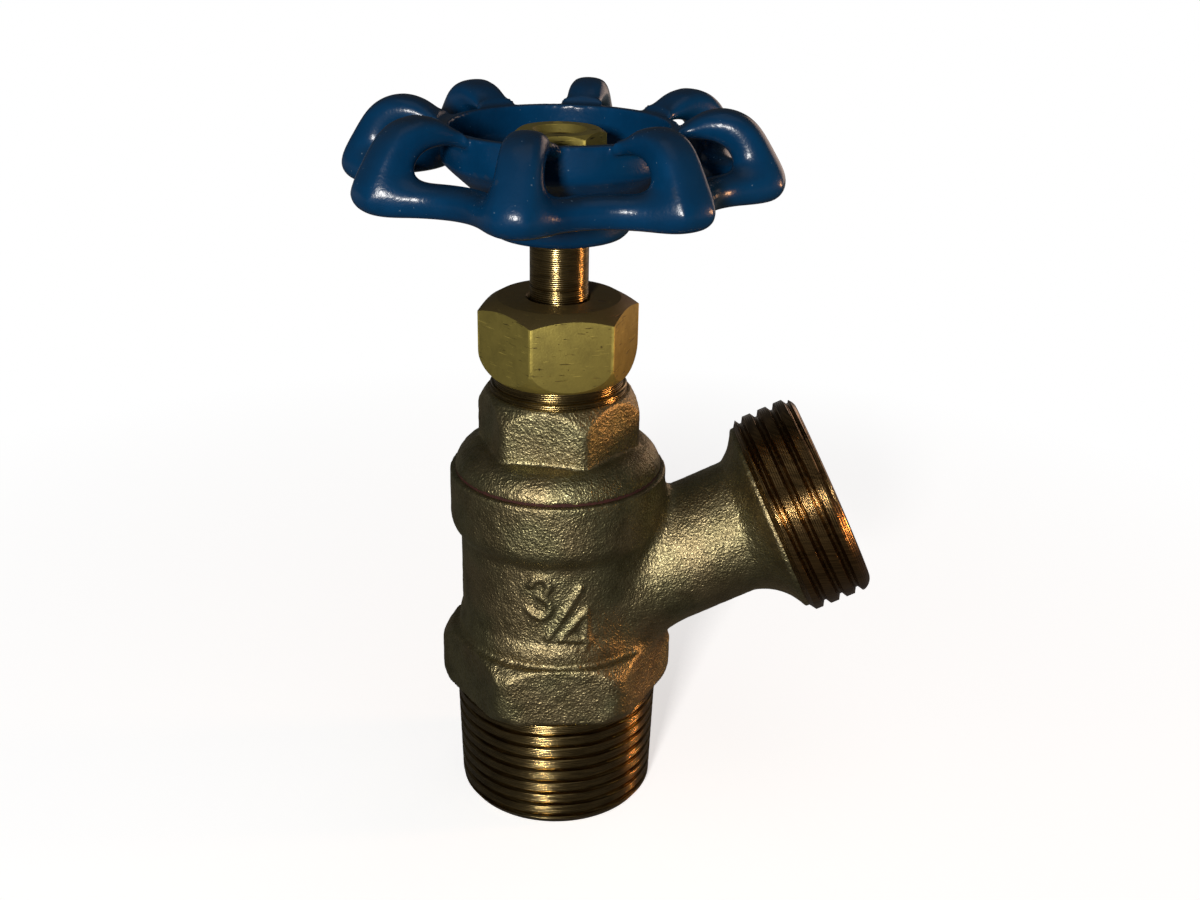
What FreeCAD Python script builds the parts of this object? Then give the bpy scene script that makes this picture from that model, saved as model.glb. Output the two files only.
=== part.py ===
import FreeCAD, Part
import math
import os

from FreeCAD import Vector

os.makedirs("parts", exist_ok=True)

# Boiler drain valve with a 3/4 inch tapered pipe inlet and a 3/4 inch hose outlet.
# Millimetres, +Z up the valve axis, origin at the middle of the inlet end face.
# The spout leans towards +X, and the valve is drawn closed, its disc on the seat.

# Fits, each a gap on one side
running_fit = 0.05
thread_fit = 0.05
slip_fit = 0.10
seat_touch = 0.05
open_gap = 0.5

# How far a cutting solid runs on past the face it opens
overrun = 1.0

# Inlet: the tapered pipe thread is drawn as its crest cone
inlet_thread_radius = 13.4
inlet_thread_length = 15.9
inlet_half_taper = 1.0 / 32.0
inlet_chamfer = 1.0
inlet_chamfer_in = 0.6
inlet_bore_radius = 9.4

# Body casting
body_hex_flats = 27.2
body_hex_corner_round = 2.6
body_hex_height = 8.0
body_hex_foot = 2.1
body_hex_foot_step = 1.1
body_hex_brow = 3.9
body_hex_brow_step = 1.8
body_hex_brow_bulge = 0.6
shoulder_ledge = 0.55
shoulder_swell = 0.42
body_shoulder_height = 3.3
waist_radius = 12.5
flare_above_spout = 11.6
flare_height = 3.5
flare_step_out = 0.45
flare_step_up = 1.0
flare_sag = 0.08
flare_bulge = 0.22
collar_radius = 13.8
collar_height = 5.7
collar_edge_round = 0.5

# Seat and chamber inside the body
seat_bore_radius = 6.0
seat_lip_width = 1.2
seat_below_spout = 1.7
seat_lip_height = 2.5
seat_web = 5.9
chamber_radius = 9.9

# Spout, measured along its own axis from where that axis crosses the valve axis
spout_rise = 25.0
spout_cross_height = 25.8
spout_length = 39.6
spout_tube_radius = 8.6
spout_tube_lift = 0.6
spout_bore_radius = 6.4
spout_root = 5.0
spout_swell = 1.3
spout_swell_sag = 0.35
spout_swell_start = 9.5
spout_swell_end = 16.5
hose_thread_radius = 13.49
hose_thread_length = 8.0
hose_chamfer = 0.6
hose_shoulder_radius = 12.5
hose_shoulder_run = 1.1
hose_flare_length = 6.8
hose_flare_sag = 0.9
hose_mouth_radius = 9.2
hose_mouth_depth = 7.0
hose_mouth_cone = 3.0

# Bonnet, screwed into the collar on a flat ring gasket
bonnet_thread_radius = 11.0
bonnet_thread_length = 7.6
gasket_thickness = 0.4
gasket_radius = 13.1
bonnet_flange_radius = 13.1
bonnet_dome_height = 4.3
bonnet_dome_bulge = 0.75
bonnet_lead_chamfer = 0.5
bonnet_hex_flats = 18.4
bonnet_hex_corner_round = 1.5
bonnet_hex_turn = -13.4
bonnet_hex_height = 5.9
bonnet_hex_brow = 4.6
bonnet_hex_brow_step = 1.95
bonnet_hex_brow_bulge = 0.5
neck_ring_radius = 8.6
neck_ring_height = 0.9
neck_radius = 8.0
neck_length = 7.6
neck_chamfer = 0.5
bonnet_recess_radius = 7.5
bonnet_recess_depth = 1.95
gland_shelf = 1.3
stuffing_box_radius = 5.7
stuffing_box_depth = 6.9

# Packing round the stem
packing_washer_thickness = 0.7
packing_ring_count = 3
packing_ring_height = 1.7
gland_nose_length = 1.7
gland_flange_radius = 7.2
gland_flange_thickness = 1.2

# Packing nut
nut_flats = 17.46
nut_turn = 8.5
nut_height = 10.1
nut_plate = 2.4
nut_chamfer_angle = 30.0
nut_face_radius = 7.6
nut_hole_fit = 0.2

# Stem
stem_radius = 3.6
stem_thread_radius = 4.8
stem_thread_chamfer = 0.5
stem_above_nut = 7.9
stem_button_radius = 4.2
stem_button_height = 2.0
stem_neck_radius = 2.6
stem_neck_length = 2.8
stem_square = 5.0
stem_end_radius = 2.35
stem_end_length = 3.0
stem_end_recess = 0.8

# Disc, its holder and what clamps it
disc_thickness = 3.1
disc_radius = 7.6
disc_show = 1.0
disc_hole_radius = 2.05
holder_skirt_radius = 8.3
holder_plate = 2.0
holder_edge_chamfer = 0.6
holder_head_radius = 6.1
holder_cavity_floor = 0.3
stud_radius = 2.0
stud_show = 0.4
disc_washer_radius = 4.6
disc_washer_thickness = 0.8
disc_nut_flats = 7.0
disc_nut_height = 2.3

# Handwheel, heights measured from the underside of its hub
lobe_count = 8
lobe_turn = -103.0
wheel_radius = 26.7
lobe_depth = 5.3
lobe_tip_radius = 5.0
rim_lobe_setback = 0.5
rim_width_lobe = 5.2
rim_width_valley = 4.6
rim_inner_tip_radius = 2.0
rim_rise = 5.0
rim_height = 4.2
rim_edge_round = 1.3
rim_under_bevel = 0.9
rib_width = 5.2
rib_edge_bevel = 0.9
arch_rise = 15.8
arch_flank_run = 1.5
arch_foot_radius = 2.3
arch_thickness = 3.4
opening_radius = 2.2
opening_setback = 0.9
band_radius = 14.0
band_wall = 1.1
band_rise = 8.9
band_height = 4.1
band_foot = 1.1
band_edge_bevel = 0.3
hub_radius = 8.5
hub_waist_radius = 7.6
hub_height = 9.2
hub_edge_round = 0.7
cup_floor = 1.2

# Wheel nut
wheel_nut_flats = 9.53
wheel_nut_turn = 0.0
wheel_nut_height = 3.2
wheel_nut_bevel = 0.45

# Heights on the valve axis that follow from the sizes above
hex_base = inlet_thread_length
hex_top = hex_base + body_hex_height
waist_base = hex_top + body_shoulder_height
flare_base = spout_cross_height + flare_above_spout
collar_base = flare_base + flare_height
body_top = collar_base + collar_height
seat_height = spout_cross_height - seat_below_spout
inlet_bore_depth = seat_height - seat_web
chamber_floor = seat_height - seat_lip_height
flange_base = body_top + gasket_thickness
bonnet_base = body_top - bonnet_thread_length
bonnet_hex_base = flange_base + bonnet_dome_height
bonnet_hex_top = bonnet_hex_base + bonnet_hex_height
bonnet_top = bonnet_hex_top + neck_length
stuffing_floor = bonnet_top - stuffing_box_depth
stem_bore_top = stuffing_floor - gland_shelf
packing_base = stuffing_floor + packing_washer_thickness
packing_top = packing_base + packing_ring_count * packing_ring_height
gland_flange_base = packing_top + gland_nose_length
gland_top = gland_flange_base + gland_flange_thickness
nut_top = gland_top + nut_plate
nut_base = nut_top - nut_height
wheel_base = nut_top + stem_above_nut
hub_top = wheel_base + hub_height
wheel_nut_top = hub_top + wheel_nut_height
valley_radius = wheel_radius - lobe_depth
arch_radius = (wheel_radius - band_radius - arch_flank_run) / 2
recess_top = bonnet_base + bonnet_recess_depth
disc_base = seat_height + seat_touch
disc_top = disc_base + disc_thickness
holder_plate_top = disc_top + holder_plate
cavity_base = holder_plate_top + holder_cavity_floor
button_base = cavity_base + running_fit
button_top = button_base + stem_button_height
cavity_top = button_top + running_fit
stem_thread_base = button_top + stem_neck_length
holder_top = stem_thread_base - holder_cavity_floor
lift = recess_top - holder_top - open_gap
stem_thread_top = stem_bore_top - lift - open_gap
stem_end_top = wheel_nut_top - stem_end_recess
square_top = stem_end_top - stem_end_length
rise = math.radians(spout_rise)
spout_axis = Vector(math.cos(rise), 0, math.sin(rise))
spout_cross = Vector(0, 0, spout_cross_height)


def outline(points):
    """Closed wire in the XZ plane: a point is (x, z), or (mid x, mid z, x, z) for an arc to (x, z)."""
    edges = []
    here = Vector(points[0][0], 0, points[0][1])
    start = here
    for point in points[1:]:
        there = Vector(point[-2], 0, point[-1])
        if len(point) == 4:
            middle = Vector(point[0], 0, point[1])
            edges.append(Part.Arc(here, middle, there).toShape())
        else:
            edges.append(Part.LineSegment(here, there).toShape())
        here = there
    if here.distanceToPoint(start) > 1e-6:
        edges.append(Part.LineSegment(here, start).toShape())
    return Part.Wire(edges)


def turned(points):
    """Solid turned about the Z axis from a half outline."""
    return Part.Face(outline(points)).revolve(Vector(0, 0, 0), Vector(0, 0, 1), 360)


def ring(inner, outer, base, top):
    return turned([(inner, base), (outer, base), (outer, top), (inner, top)])


def rod(radius, base, top):
    return Part.makeCylinder(radius, top - base, Vector(0, 0, base))


def hexagon(flats, base, top, turn, corner_round=0.0):
    """Hexagonal prism with one flat facing -Y, turned about Z by the given angle."""
    corner = flats / 2 / math.cos(math.radians(30))
    points = []
    for step in range(7):
        angle = math.radians(60 * step)
        points.append(Vector(corner * math.cos(angle), corner * math.sin(angle), base))
    prism = Part.Face(Part.makePolygon(points)).extrude(Vector(0, 0, top - base))
    if corner_round:
        prism = prism.makeFillet(corner_round, edges_along_z(prism))
    prism.rotate(Vector(0, 0, 0), Vector(0, 0, 1), turn)
    return prism


def edges_along_z(shape):
    found = []
    for edge in shape.Edges:
        if len(edge.Vertexes) == 2:
            step = edge.Vertexes[1].Point - edge.Vertexes[0].Point
            if abs(step.x) < 1e-6 and abs(step.y) < 1e-6:
                found.append(edge)
    return found


def along_spout(shape, lift_off_axis=0.0):
    """Moves a shape turned about Z onto the spout axis, its z the distance from the crossing."""
    placed = shape.copy()
    placed.rotate(Vector(0, 0, 0), Vector(0, 1, 0), 90 - spout_rise)
    side = Vector(-math.sin(rise), 0, math.cos(rise))
    placed.translate(spout_cross + side * lift_off_axis)
    return placed


def body_hex():
    """Hexagonal foot of the casting, its corners cut by a turned, softly rounded envelope."""
    corner = body_hex_flats / 2 / math.cos(math.radians(30))
    prism = hexagon(body_hex_flats, hex_base, hex_top, 0, body_hex_corner_round)
    envelope = turned([
        (0, hex_base),
        (corner - body_hex_foot_step, hex_base),
        (corner, hex_base + body_hex_foot),
        (corner, hex_top - body_hex_brow),
        (corner - (body_hex_brow_step - body_hex_brow_bulge) / 2,
         hex_top - (body_hex_brow - body_hex_brow_bulge) / 2,
         corner - body_hex_brow_step, hex_top),
        (0, hex_top),
    ])
    return prism.common(envelope)


def body_shell():
    """Turned outside of the casting: inlet cone, waist, flare and collar."""
    inlet_end_radius = inlet_thread_radius - inlet_thread_length * inlet_half_taper
    chamfer_radius = inlet_end_radius + inlet_chamfer * inlet_half_taper
    shoulder_radius = body_hex_flats / 2 - shoulder_ledge
    step_radius = waist_radius + flare_step_out
    step_height = flare_base + flare_step_up
    shell = turned([
        (0, 0),
        (inlet_end_radius - inlet_chamfer_in, 0),
        (chamfer_radius, inlet_chamfer),
        (inlet_thread_radius, hex_base),
        (shoulder_radius, hex_base),
        (shoulder_radius, hex_top),
        (waist_radius + shoulder_swell, waist_base - body_shoulder_height / 2, waist_radius, waist_base),
        (waist_radius, flare_base),
        ((waist_radius + step_radius) / 2 - flare_sag, (flare_base + step_height) / 2 + flare_sag,
         step_radius, step_height),
        ((step_radius + collar_radius) / 2 + flare_bulge, (step_height + collar_base) / 2 - flare_bulge,
         collar_radius, collar_base),
        (collar_radius, body_top - collar_edge_round),
        (collar_radius - collar_edge_round, body_top),
        (0, body_top),
    ])
    return shell


def spout_outside():
    """Cast tube, swelling into the waist, and the flare that carries the hose thread a little lower."""
    thread_start = spout_length - hose_thread_length
    shoulder_start = thread_start - hose_shoulder_run
    flare_start = shoulder_start - hose_flare_length
    flare_foot = spout_tube_radius - spout_tube_lift - slip_fit
    flare_middle_radius = (flare_foot + hose_shoulder_radius) / 2
    flare_middle = (flare_start + shoulder_start) / 2
    tube = turned([
        (0, spout_root),
        (spout_tube_radius, spout_root),
        (spout_tube_radius + spout_swell, spout_swell_start),
        (spout_tube_radius + spout_swell / 2 - spout_swell_sag, (spout_swell_start + spout_swell_end) / 2,
         spout_tube_radius, spout_swell_end),
        (spout_tube_radius, shoulder_start),
        (0, shoulder_start),
    ])
    end = turned([
        (0, flare_start),
        (flare_foot, flare_start),
        (flare_middle_radius - hose_flare_sag, flare_middle + hose_flare_sag,
         hose_shoulder_radius, shoulder_start),
        (hose_thread_radius, thread_start),
        (hose_thread_radius, spout_length - hose_chamfer),
        (hose_thread_radius - hose_chamfer, spout_length),
        (0, spout_length),
    ])
    return along_spout(tube, spout_tube_lift), along_spout(end)


def spout_inside():
    mouth_start = spout_length - hose_mouth_depth
    throat = rod(spout_bore_radius, spout_root, mouth_start)
    mouth = turned([
        (0, mouth_start - hose_mouth_cone),
        (spout_bore_radius - spout_tube_lift, mouth_start - hose_mouth_cone),
        (hose_mouth_radius, mouth_start),
        (hose_mouth_radius, spout_length + overrun),
        (0, spout_length + overrun),
    ])
    return along_spout(throat, spout_tube_lift).fuse(along_spout(mouth))


def body_inside():
    """Inlet bore, seat bore, chamber with its gutter round the seat lip, and the bonnet bore."""
    lip_radius = seat_bore_radius + seat_lip_width
    cone_height = (inlet_bore_radius - seat_bore_radius) / 2
    inlet = turned([
        (0, -overrun),
        (inlet_bore_radius, -overrun),
        (inlet_bore_radius, inlet_bore_depth),
        (seat_bore_radius, inlet_bore_depth + cone_height),
        (seat_bore_radius, bonnet_base),
        (0, bonnet_base),
    ])
    gutter = ring(lip_radius, chamber_radius, chamber_floor, bonnet_base)
    above_seat = rod(chamber_radius, seat_height, bonnet_base)
    thread = rod(bonnet_thread_radius + thread_fit, bonnet_base - overrun, body_top + overrun)
    return inlet.fuse([gutter, above_seat, thread])


def valve_body():
    tube, end = spout_outside()
    casting = body_shell().fuse([body_hex(), tube]).removeSplitter()
    casting = casting.fuse(end).removeSplitter()
    return casting.cut(body_inside()).cut(spout_inside()).removeSplitter()


def bonnet_gasket():
    return ring(bonnet_thread_radius + thread_fit, gasket_radius, body_top, flange_base)


def bonnet():
    corner = bonnet_hex_flats / 2 / math.cos(math.radians(30))
    block = hexagon(bonnet_hex_flats, flange_base, bonnet_hex_top, bonnet_hex_turn,
                    bonnet_hex_corner_round)
    envelope = turned([
        (0, flange_base),
        (corner, flange_base),
        (corner, bonnet_hex_top - bonnet_hex_brow),
        (corner - (bonnet_hex_brow_step - bonnet_hex_brow_bulge) / 2,
         bonnet_hex_top - (bonnet_hex_brow - bonnet_hex_brow_bulge) / 2,
         corner - bonnet_hex_brow_step, bonnet_hex_top),
        (0, bonnet_hex_top),
    ])
    dome_inner = bonnet_hex_flats / 2
    dome_middle_radius = (bonnet_flange_radius + dome_inner) / 2
    dome_middle = flange_base + bonnet_dome_height / 2
    turned_part = turned([
        (0, bonnet_base),
        (bonnet_thread_radius - bonnet_lead_chamfer, bonnet_base),
        (bonnet_thread_radius, bonnet_base + bonnet_lead_chamfer),
        (bonnet_thread_radius, flange_base),
        (bonnet_flange_radius, flange_base),
        (dome_middle_radius + bonnet_dome_bulge, dome_middle + bonnet_dome_bulge,
         dome_inner, bonnet_hex_base),
        (neck_ring_radius, bonnet_hex_base),
        (neck_ring_radius, bonnet_hex_top + neck_ring_height),
        (neck_radius, bonnet_hex_top + neck_ring_height),
        (neck_radius, bonnet_top - neck_chamfer),
        (neck_radius - neck_chamfer, bonnet_top),
        (0, bonnet_top),
    ])
    inside = rod(bonnet_recess_radius, bonnet_base - overrun, recess_top)
    inside = inside.fuse([
        rod(stem_thread_radius + running_fit, bonnet_base, stem_bore_top),
        rod(stem_radius + running_fit, bonnet_base, bonnet_top),
        rod(stuffing_box_radius, stuffing_floor, bonnet_top + overrun),
    ])
    return turned_part.fuse(block.common(envelope)).removeSplitter().cut(inside)


def packing_washer():
    return ring(stem_radius + running_fit, stuffing_box_radius - running_fit, stuffing_floor, packing_base)


def packing_ring(index):
    base = packing_base + index * packing_ring_height
    top = base + packing_ring_height
    return ring(stem_radius + running_fit, stuffing_box_radius - running_fit, base, top)


def packing_gland():
    hole = stem_radius + running_fit
    return turned([
        (hole, packing_top),
        (stuffing_box_radius - running_fit, packing_top),
        (stuffing_box_radius - running_fit, gland_flange_base),
        (gland_flange_radius, gland_flange_base),
        (gland_flange_radius, gland_top),
        (hole, gland_top),
    ])


def packing_nut():
    """Hexagonal cap nut, chamfered at both ends, that presses the gland down."""
    corner = nut_flats / 2 / math.cos(math.radians(30))
    drop = (corner - nut_face_radius) * math.tan(math.radians(nut_chamfer_angle))
    envelope = turned([
        (0, nut_base),
        (nut_face_radius, nut_base),
        (corner, nut_base + drop),
        (corner, nut_top - drop),
        (nut_face_radius, nut_top),
        (0, nut_top),
    ])
    nut = hexagon(nut_flats, nut_base, nut_top, nut_turn).common(envelope)
    nut = nut.cut(rod(neck_radius + thread_fit, nut_base - overrun, gland_top))
    return nut.cut(rod(stem_radius + nut_hole_fit, nut_base, nut_top + overrun))


def stem():
    body = turned([
        (0, button_base),
        (stem_button_radius, button_base),
        (stem_button_radius, button_top),
        (stem_neck_radius, button_top),
        (stem_neck_radius, stem_thread_base),
        (stem_thread_radius - stem_thread_chamfer, stem_thread_base),
        (stem_thread_radius, stem_thread_base + stem_thread_chamfer),
        (stem_thread_radius, stem_thread_top - stem_thread_chamfer),
        (stem_thread_radius - stem_thread_chamfer, stem_thread_top),
        (stem_radius, stem_thread_top),
        (stem_radius, wheel_base),
        (0, wheel_base),
    ])
    square = Part.makeBox(stem_square, stem_square, square_top - wheel_base,
                          Vector(-stem_square / 2, -stem_square / 2, wheel_base))
    square.rotate(Vector(0, 0, 0), Vector(0, 0, 1), lobe_turn)
    return body.fuse([square, rod(stem_end_radius, square_top, stem_end_top)]).removeSplitter()


def seat_disc():
    return ring(disc_hole_radius, disc_radius, disc_base, disc_top)


def disc_holder():
    """Cup over the disc, with a side slot above that slips over the button of the stem."""
    skirt_base = disc_base + disc_show
    cup = turned([
        (0, disc_top),
        (disc_radius + slip_fit, disc_top),
        (disc_radius + slip_fit, skirt_base),
        (holder_skirt_radius, skirt_base),
        (holder_skirt_radius, holder_plate_top - holder_edge_chamfer),
        (holder_skirt_radius - holder_edge_chamfer, holder_plate_top),
        (holder_head_radius, holder_plate_top),
        (holder_head_radius, holder_top),
        (0, holder_top),
    ])
    stud_base = disc_base - disc_washer_thickness - disc_nut_height - stud_show
    cup = cup.fuse(rod(stud_radius, stud_base, disc_top))
    cavity_radius = stem_button_radius + slip_fit
    neck_slot_radius = stem_neck_radius + slip_fit
    cup = cup.cut(slot_towards_y(cavity_radius, cavity_base, cavity_top))
    return cup.cut(slot_towards_y(neck_slot_radius, cavity_base, holder_top + overrun))


def slot_towards_y(radius, base, top):
    round_end = rod(radius, base, top)
    mouth = Part.makeBox(2 * radius, holder_head_radius + overrun, top - base, Vector(-radius, 0, base))
    return round_end.fuse(mouth)


def disc_washer():
    return ring(disc_hole_radius, disc_washer_radius, disc_base - disc_washer_thickness, disc_base)


def disc_nut():
    top = disc_base - disc_washer_thickness
    nut = hexagon(disc_nut_flats, top - disc_nut_height, top, 0)
    return nut.cut(rod(stud_radius + thread_fit, top - disc_nut_height - overrun, top + overrun))


def wavy_outline(lobe_radius, dip_radius, tip_radius, height):
    """Closed outline of tangent arcs: a convex tip at each lobe and a hollow between each two lobes."""
    half = math.pi / lobe_count
    tip_centre = lobe_radius - tip_radius
    inset = tip_radius - dip_radius
    hollow_centre = (tip_centre ** 2 - inset ** 2) / (2 * (tip_centre * math.cos(half) + inset))
    hollow_radius = hollow_centre - dip_radius
    share = tip_radius / (tip_radius + hollow_radius)
    joint_x = tip_centre + (hollow_centre * math.cos(half) - tip_centre) * share
    joint_y = hollow_centre * math.sin(half) * share
    joint_radius = math.hypot(joint_x, joint_y)
    joint_angle = math.atan2(joint_y, joint_x)

    def polar(radius, angle):
        return Vector(radius * math.cos(angle), radius * math.sin(angle), height)

    edges = []
    for lobe in range(lobe_count):
        middle = 2 * half * lobe
        enter = polar(joint_radius, middle - joint_angle)
        leave = polar(joint_radius, middle + joint_angle)
        again = polar(joint_radius, middle + 2 * half - joint_angle)
        edges.append(Part.Arc(enter, polar(lobe_radius, middle), leave).toShape())
        edges.append(Part.Arc(leave, polar(dip_radius, middle + half), again).toShape())
    return Part.Wire(edges)


def wheel_rim():
    base = wheel_base + rim_rise
    outer = wavy_outline(wheel_radius - rim_lobe_setback, valley_radius, lobe_tip_radius, base)
    solid = Part.Face(outer).extrude(Vector(0, 0, rim_height))
    solid = solid.makeFillet(rim_edge_round, edges_at_height(solid, base + rim_height))
    solid = solid.makeChamfer(rim_under_bevel, edges_at_height(solid, base))
    inner = wavy_outline(wheel_radius - rim_lobe_setback - rim_width_lobe, valley_radius - rim_width_valley,
                         rim_inner_tip_radius, base - overrun)
    return solid.cut(Part.Face(inner).extrude(Vector(0, 0, rim_height + 2 * overrun)))


def edges_at_height(shape, height):
    found = []
    for edge in shape.Edges:
        box = edge.BoundBox
        if abs(box.ZMin - height) < 1e-6 and abs(box.ZMax - height) < 1e-6:
            found.append(edge)
    return found


def wheel_rib():
    """Arched rib of one lobe along +X: an arch from the band, a leaning flank and a round foot."""
    crown_z = wheel_base + arch_rise - arch_radius
    band_top = wheel_base + band_rise + band_height
    rim_base = wheel_base + rim_rise
    rim_top = rim_base + rim_height
    rise_at_band = math.asin((band_top - crown_z) / arch_radius)
    crown_x = band_radius + arch_radius * math.cos(rise_at_band)
    foot_x = wheel_radius - arch_foot_radius
    foot_z = rim_base + arch_foot_radius
    apart = math.hypot(foot_x - crown_x, foot_z - crown_z)
    turn = math.acos((arch_radius - arch_foot_radius) / apart)
    lean = math.pi / 2 - turn - math.atan2(foot_z - crown_z, foot_x - crown_x)
    leave = (crown_x + arch_radius * math.sin(lean), crown_z + arch_radius * math.cos(lean))
    flank = (foot_x + arch_foot_radius * math.sin(lean), foot_z + arch_foot_radius * math.cos(lean))
    foot_side = arch_foot_radius * math.sin(math.radians(45))
    opening_z = wheel_base + arch_rise - arch_thickness
    opening_x = crown_x - opening_setback
    opening_centre_z = opening_z - opening_radius
    opening_leave = (opening_x + opening_radius * math.sin(lean),
                     opening_centre_z + opening_radius * math.cos(lean))
    opening_foot = opening_leave[0] + (opening_leave[1] - rim_top) / math.tan(lean)
    band_inside = band_radius - band_wall / 2
    profile = outline([
        (band_inside, opening_z),
        (band_inside, band_top),
        (band_radius, band_top),
        (crown_x, crown_z + arch_radius, leave[0], leave[1]),
        flank,
        (foot_x + foot_side, foot_z - foot_side, foot_x, rim_base),
        (opening_foot, rim_base),
        (opening_foot, rim_top),
        opening_leave,
        (opening_x + opening_radius * math.sin(lean / 2),
         opening_centre_z + opening_radius * math.cos(lean / 2),
         opening_x, opening_z),
    ])
    rib = Part.Face(profile).extrude(Vector(0, rib_width, 0))
    rib.translate(Vector(0, -rib_width / 2, 0))
    return rib.makeChamfer(rib_edge_bevel, outer_rib_edges(rib, opening_foot))


def outer_rib_edges(rib, opening_foot):
    """Edges of the two side faces that follow the outside of the arch down to the foot."""
    found = []
    for edge in rib.Edges:
        flat = abs(edge.Vertexes[0].Point.y - edge.Vertexes[-1].Point.y) < 1e-6
        ends = [vertex.Point for vertex in edge.Vertexes]
        above = min(point.z for point in ends) > wheel_base + band_rise + band_height - 1e-6
        outside = min(point.x for point in ends) > opening_foot + 1e-6
        if flat and (above or outside) and edge.Length > rib_edge_bevel:
            found.append(edge)
    return found


def wheel_cup():
    """Hub, the floor of the bowl and its upright band, turned as one."""
    band_base = wheel_base + band_rise
    band_top = band_base + band_height
    band_inside = band_radius - band_wall
    bowl_floor = wheel_base + rim_rise
    return turned([
        (0, wheel_base),
        (hub_radius - hub_edge_round, wheel_base),
        (hub_radius, wheel_base + hub_edge_round),
        (hub_radius, bowl_floor - cup_floor),
        (band_radius - band_foot, band_base - band_foot),
        (band_radius, band_base),
        (band_radius, band_top - band_edge_bevel),
        (band_radius - band_edge_bevel, band_top),
        (band_inside, band_top),
        (band_inside, band_base + band_foot / 2),
        (hub_waist_radius + cup_floor, bowl_floor),
        (hub_waist_radius, bowl_floor + cup_floor),
        (hub_waist_radius, hub_top),
        (0, hub_top),
    ])


def handwheel():
    ribs = []
    for lobe in range(lobe_count):
        rib = wheel_rib()
        rib.rotate(Vector(0, 0, 0), Vector(0, 0, 1), lobe * 360 / lobe_count)
        ribs.append(rib)
    wheel = wheel_rim().fuse(ribs).fuse(wheel_cup()).removeSplitter()
    side = stem_square + 2 * slip_fit
    hole = Part.makeBox(side, side, hub_height + 2 * overrun,
                        Vector(-side / 2, -side / 2, wheel_base - overrun))
    wheel = wheel.cut(hole)
    wheel.rotate(Vector(0, 0, 0), Vector(0, 0, 1), lobe_turn)
    return wheel


def wheel_nut():
    corner = wheel_nut_flats / 2 / math.cos(math.radians(30))
    face = wheel_nut_flats / 2
    envelope = turned([
        (0, hub_top),
        (corner, hub_top),
        (corner, wheel_nut_top - wheel_nut_bevel),
        (face, wheel_nut_top),
        (0, wheel_nut_top),
    ])
    nut = hexagon(wheel_nut_flats, hub_top, wheel_nut_top, wheel_nut_turn).common(envelope)
    return nut.cut(rod(stem_end_radius + thread_fit, hub_top - overrun, wheel_nut_top + overrun))


pieces = {
    "valve_body": valve_body(),
    "bonnet_gasket": bonnet_gasket(),
    "bonnet": bonnet(),
    "packing_washer": packing_washer(),
    "packing_gland": packing_gland(),
    "packing_nut": packing_nut(),
    "stem": stem(),
    "disc_holder": disc_holder(),
    "seat_disc": seat_disc(),
    "disc_washer": disc_washer(),
    "disc_nut": disc_nut(),
    "handwheel": handwheel(),
    "wheel_nut": wheel_nut(),
}
for index in range(packing_ring_count):
    pieces["packing_ring_%d" % (index + 1)] = packing_ring(index)

for name, shape in pieces.items():
    shape.exportStep("parts/%s.step" % name)
    print(name, "solids", len(shape.Solids), "valid", shape.isValid(), "volume", round(shape.Volume, 1))
print("height", round(wheel_base + arch_rise, 2), "lift", round(lift, 3))
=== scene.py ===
import math

import bpy
from bpy.props import FloatProperty, FloatVectorProperty, IntProperty, PointerProperty
from bpy.types import Operator, Panel, PropertyGroup
from mathutils import Matrix, Vector


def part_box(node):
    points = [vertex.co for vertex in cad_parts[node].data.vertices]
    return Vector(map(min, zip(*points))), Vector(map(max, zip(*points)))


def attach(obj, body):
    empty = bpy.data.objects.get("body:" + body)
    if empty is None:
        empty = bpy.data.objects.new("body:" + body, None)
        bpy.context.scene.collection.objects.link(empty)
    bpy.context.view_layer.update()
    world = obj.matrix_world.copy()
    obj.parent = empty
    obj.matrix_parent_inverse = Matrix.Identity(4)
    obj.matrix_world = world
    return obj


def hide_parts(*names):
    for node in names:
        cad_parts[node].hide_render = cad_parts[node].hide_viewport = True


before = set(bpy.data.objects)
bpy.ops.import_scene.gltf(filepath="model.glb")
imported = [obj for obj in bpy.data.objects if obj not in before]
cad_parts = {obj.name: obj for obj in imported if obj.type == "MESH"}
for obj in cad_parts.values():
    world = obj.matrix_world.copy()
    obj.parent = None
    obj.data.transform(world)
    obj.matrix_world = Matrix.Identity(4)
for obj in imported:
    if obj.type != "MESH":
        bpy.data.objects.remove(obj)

bl_info = {
    "name": "Boiler drain valve",
    "version": (1, 0, 0),
    "blender": (4, 5, 0),
    "location": "View3D > Sidebar > Valve",
    "description": "Builds the visible pieces of a boiler drain valve over its packed frame",
    "category": "Object",
}

MM = 0.001
FLAT_TO_CORNER = 1 / math.cos(math.radians(30))
PIPE_TAPER = 1 / 32
ROOT_SHARE = 0.12
FINE_STEPS = 192
BORE_STEPS = 96
CLEAR = 1 * MM


def length(description, millimetres):
    return FloatProperty(description=description, default=millimetres * MM, unit="LENGTH",
                         precision=5)


def degrees(description, default):
    return FloatProperty(description=description, default=math.radians(default), unit="ROTATION",
                         subtype="ANGLE")


def fraction(description, default):
    return FloatProperty(description=description, default=default, min=0.0, max=1.0)


def count(description, default, least=0):
    return IntProperty(description=description, default=default, min=least)


def colour(description, default):
    return FloatVectorProperty(description=description, default=default, size=3, min=0.0, max=1.0,
                               subtype="COLOR")


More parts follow.
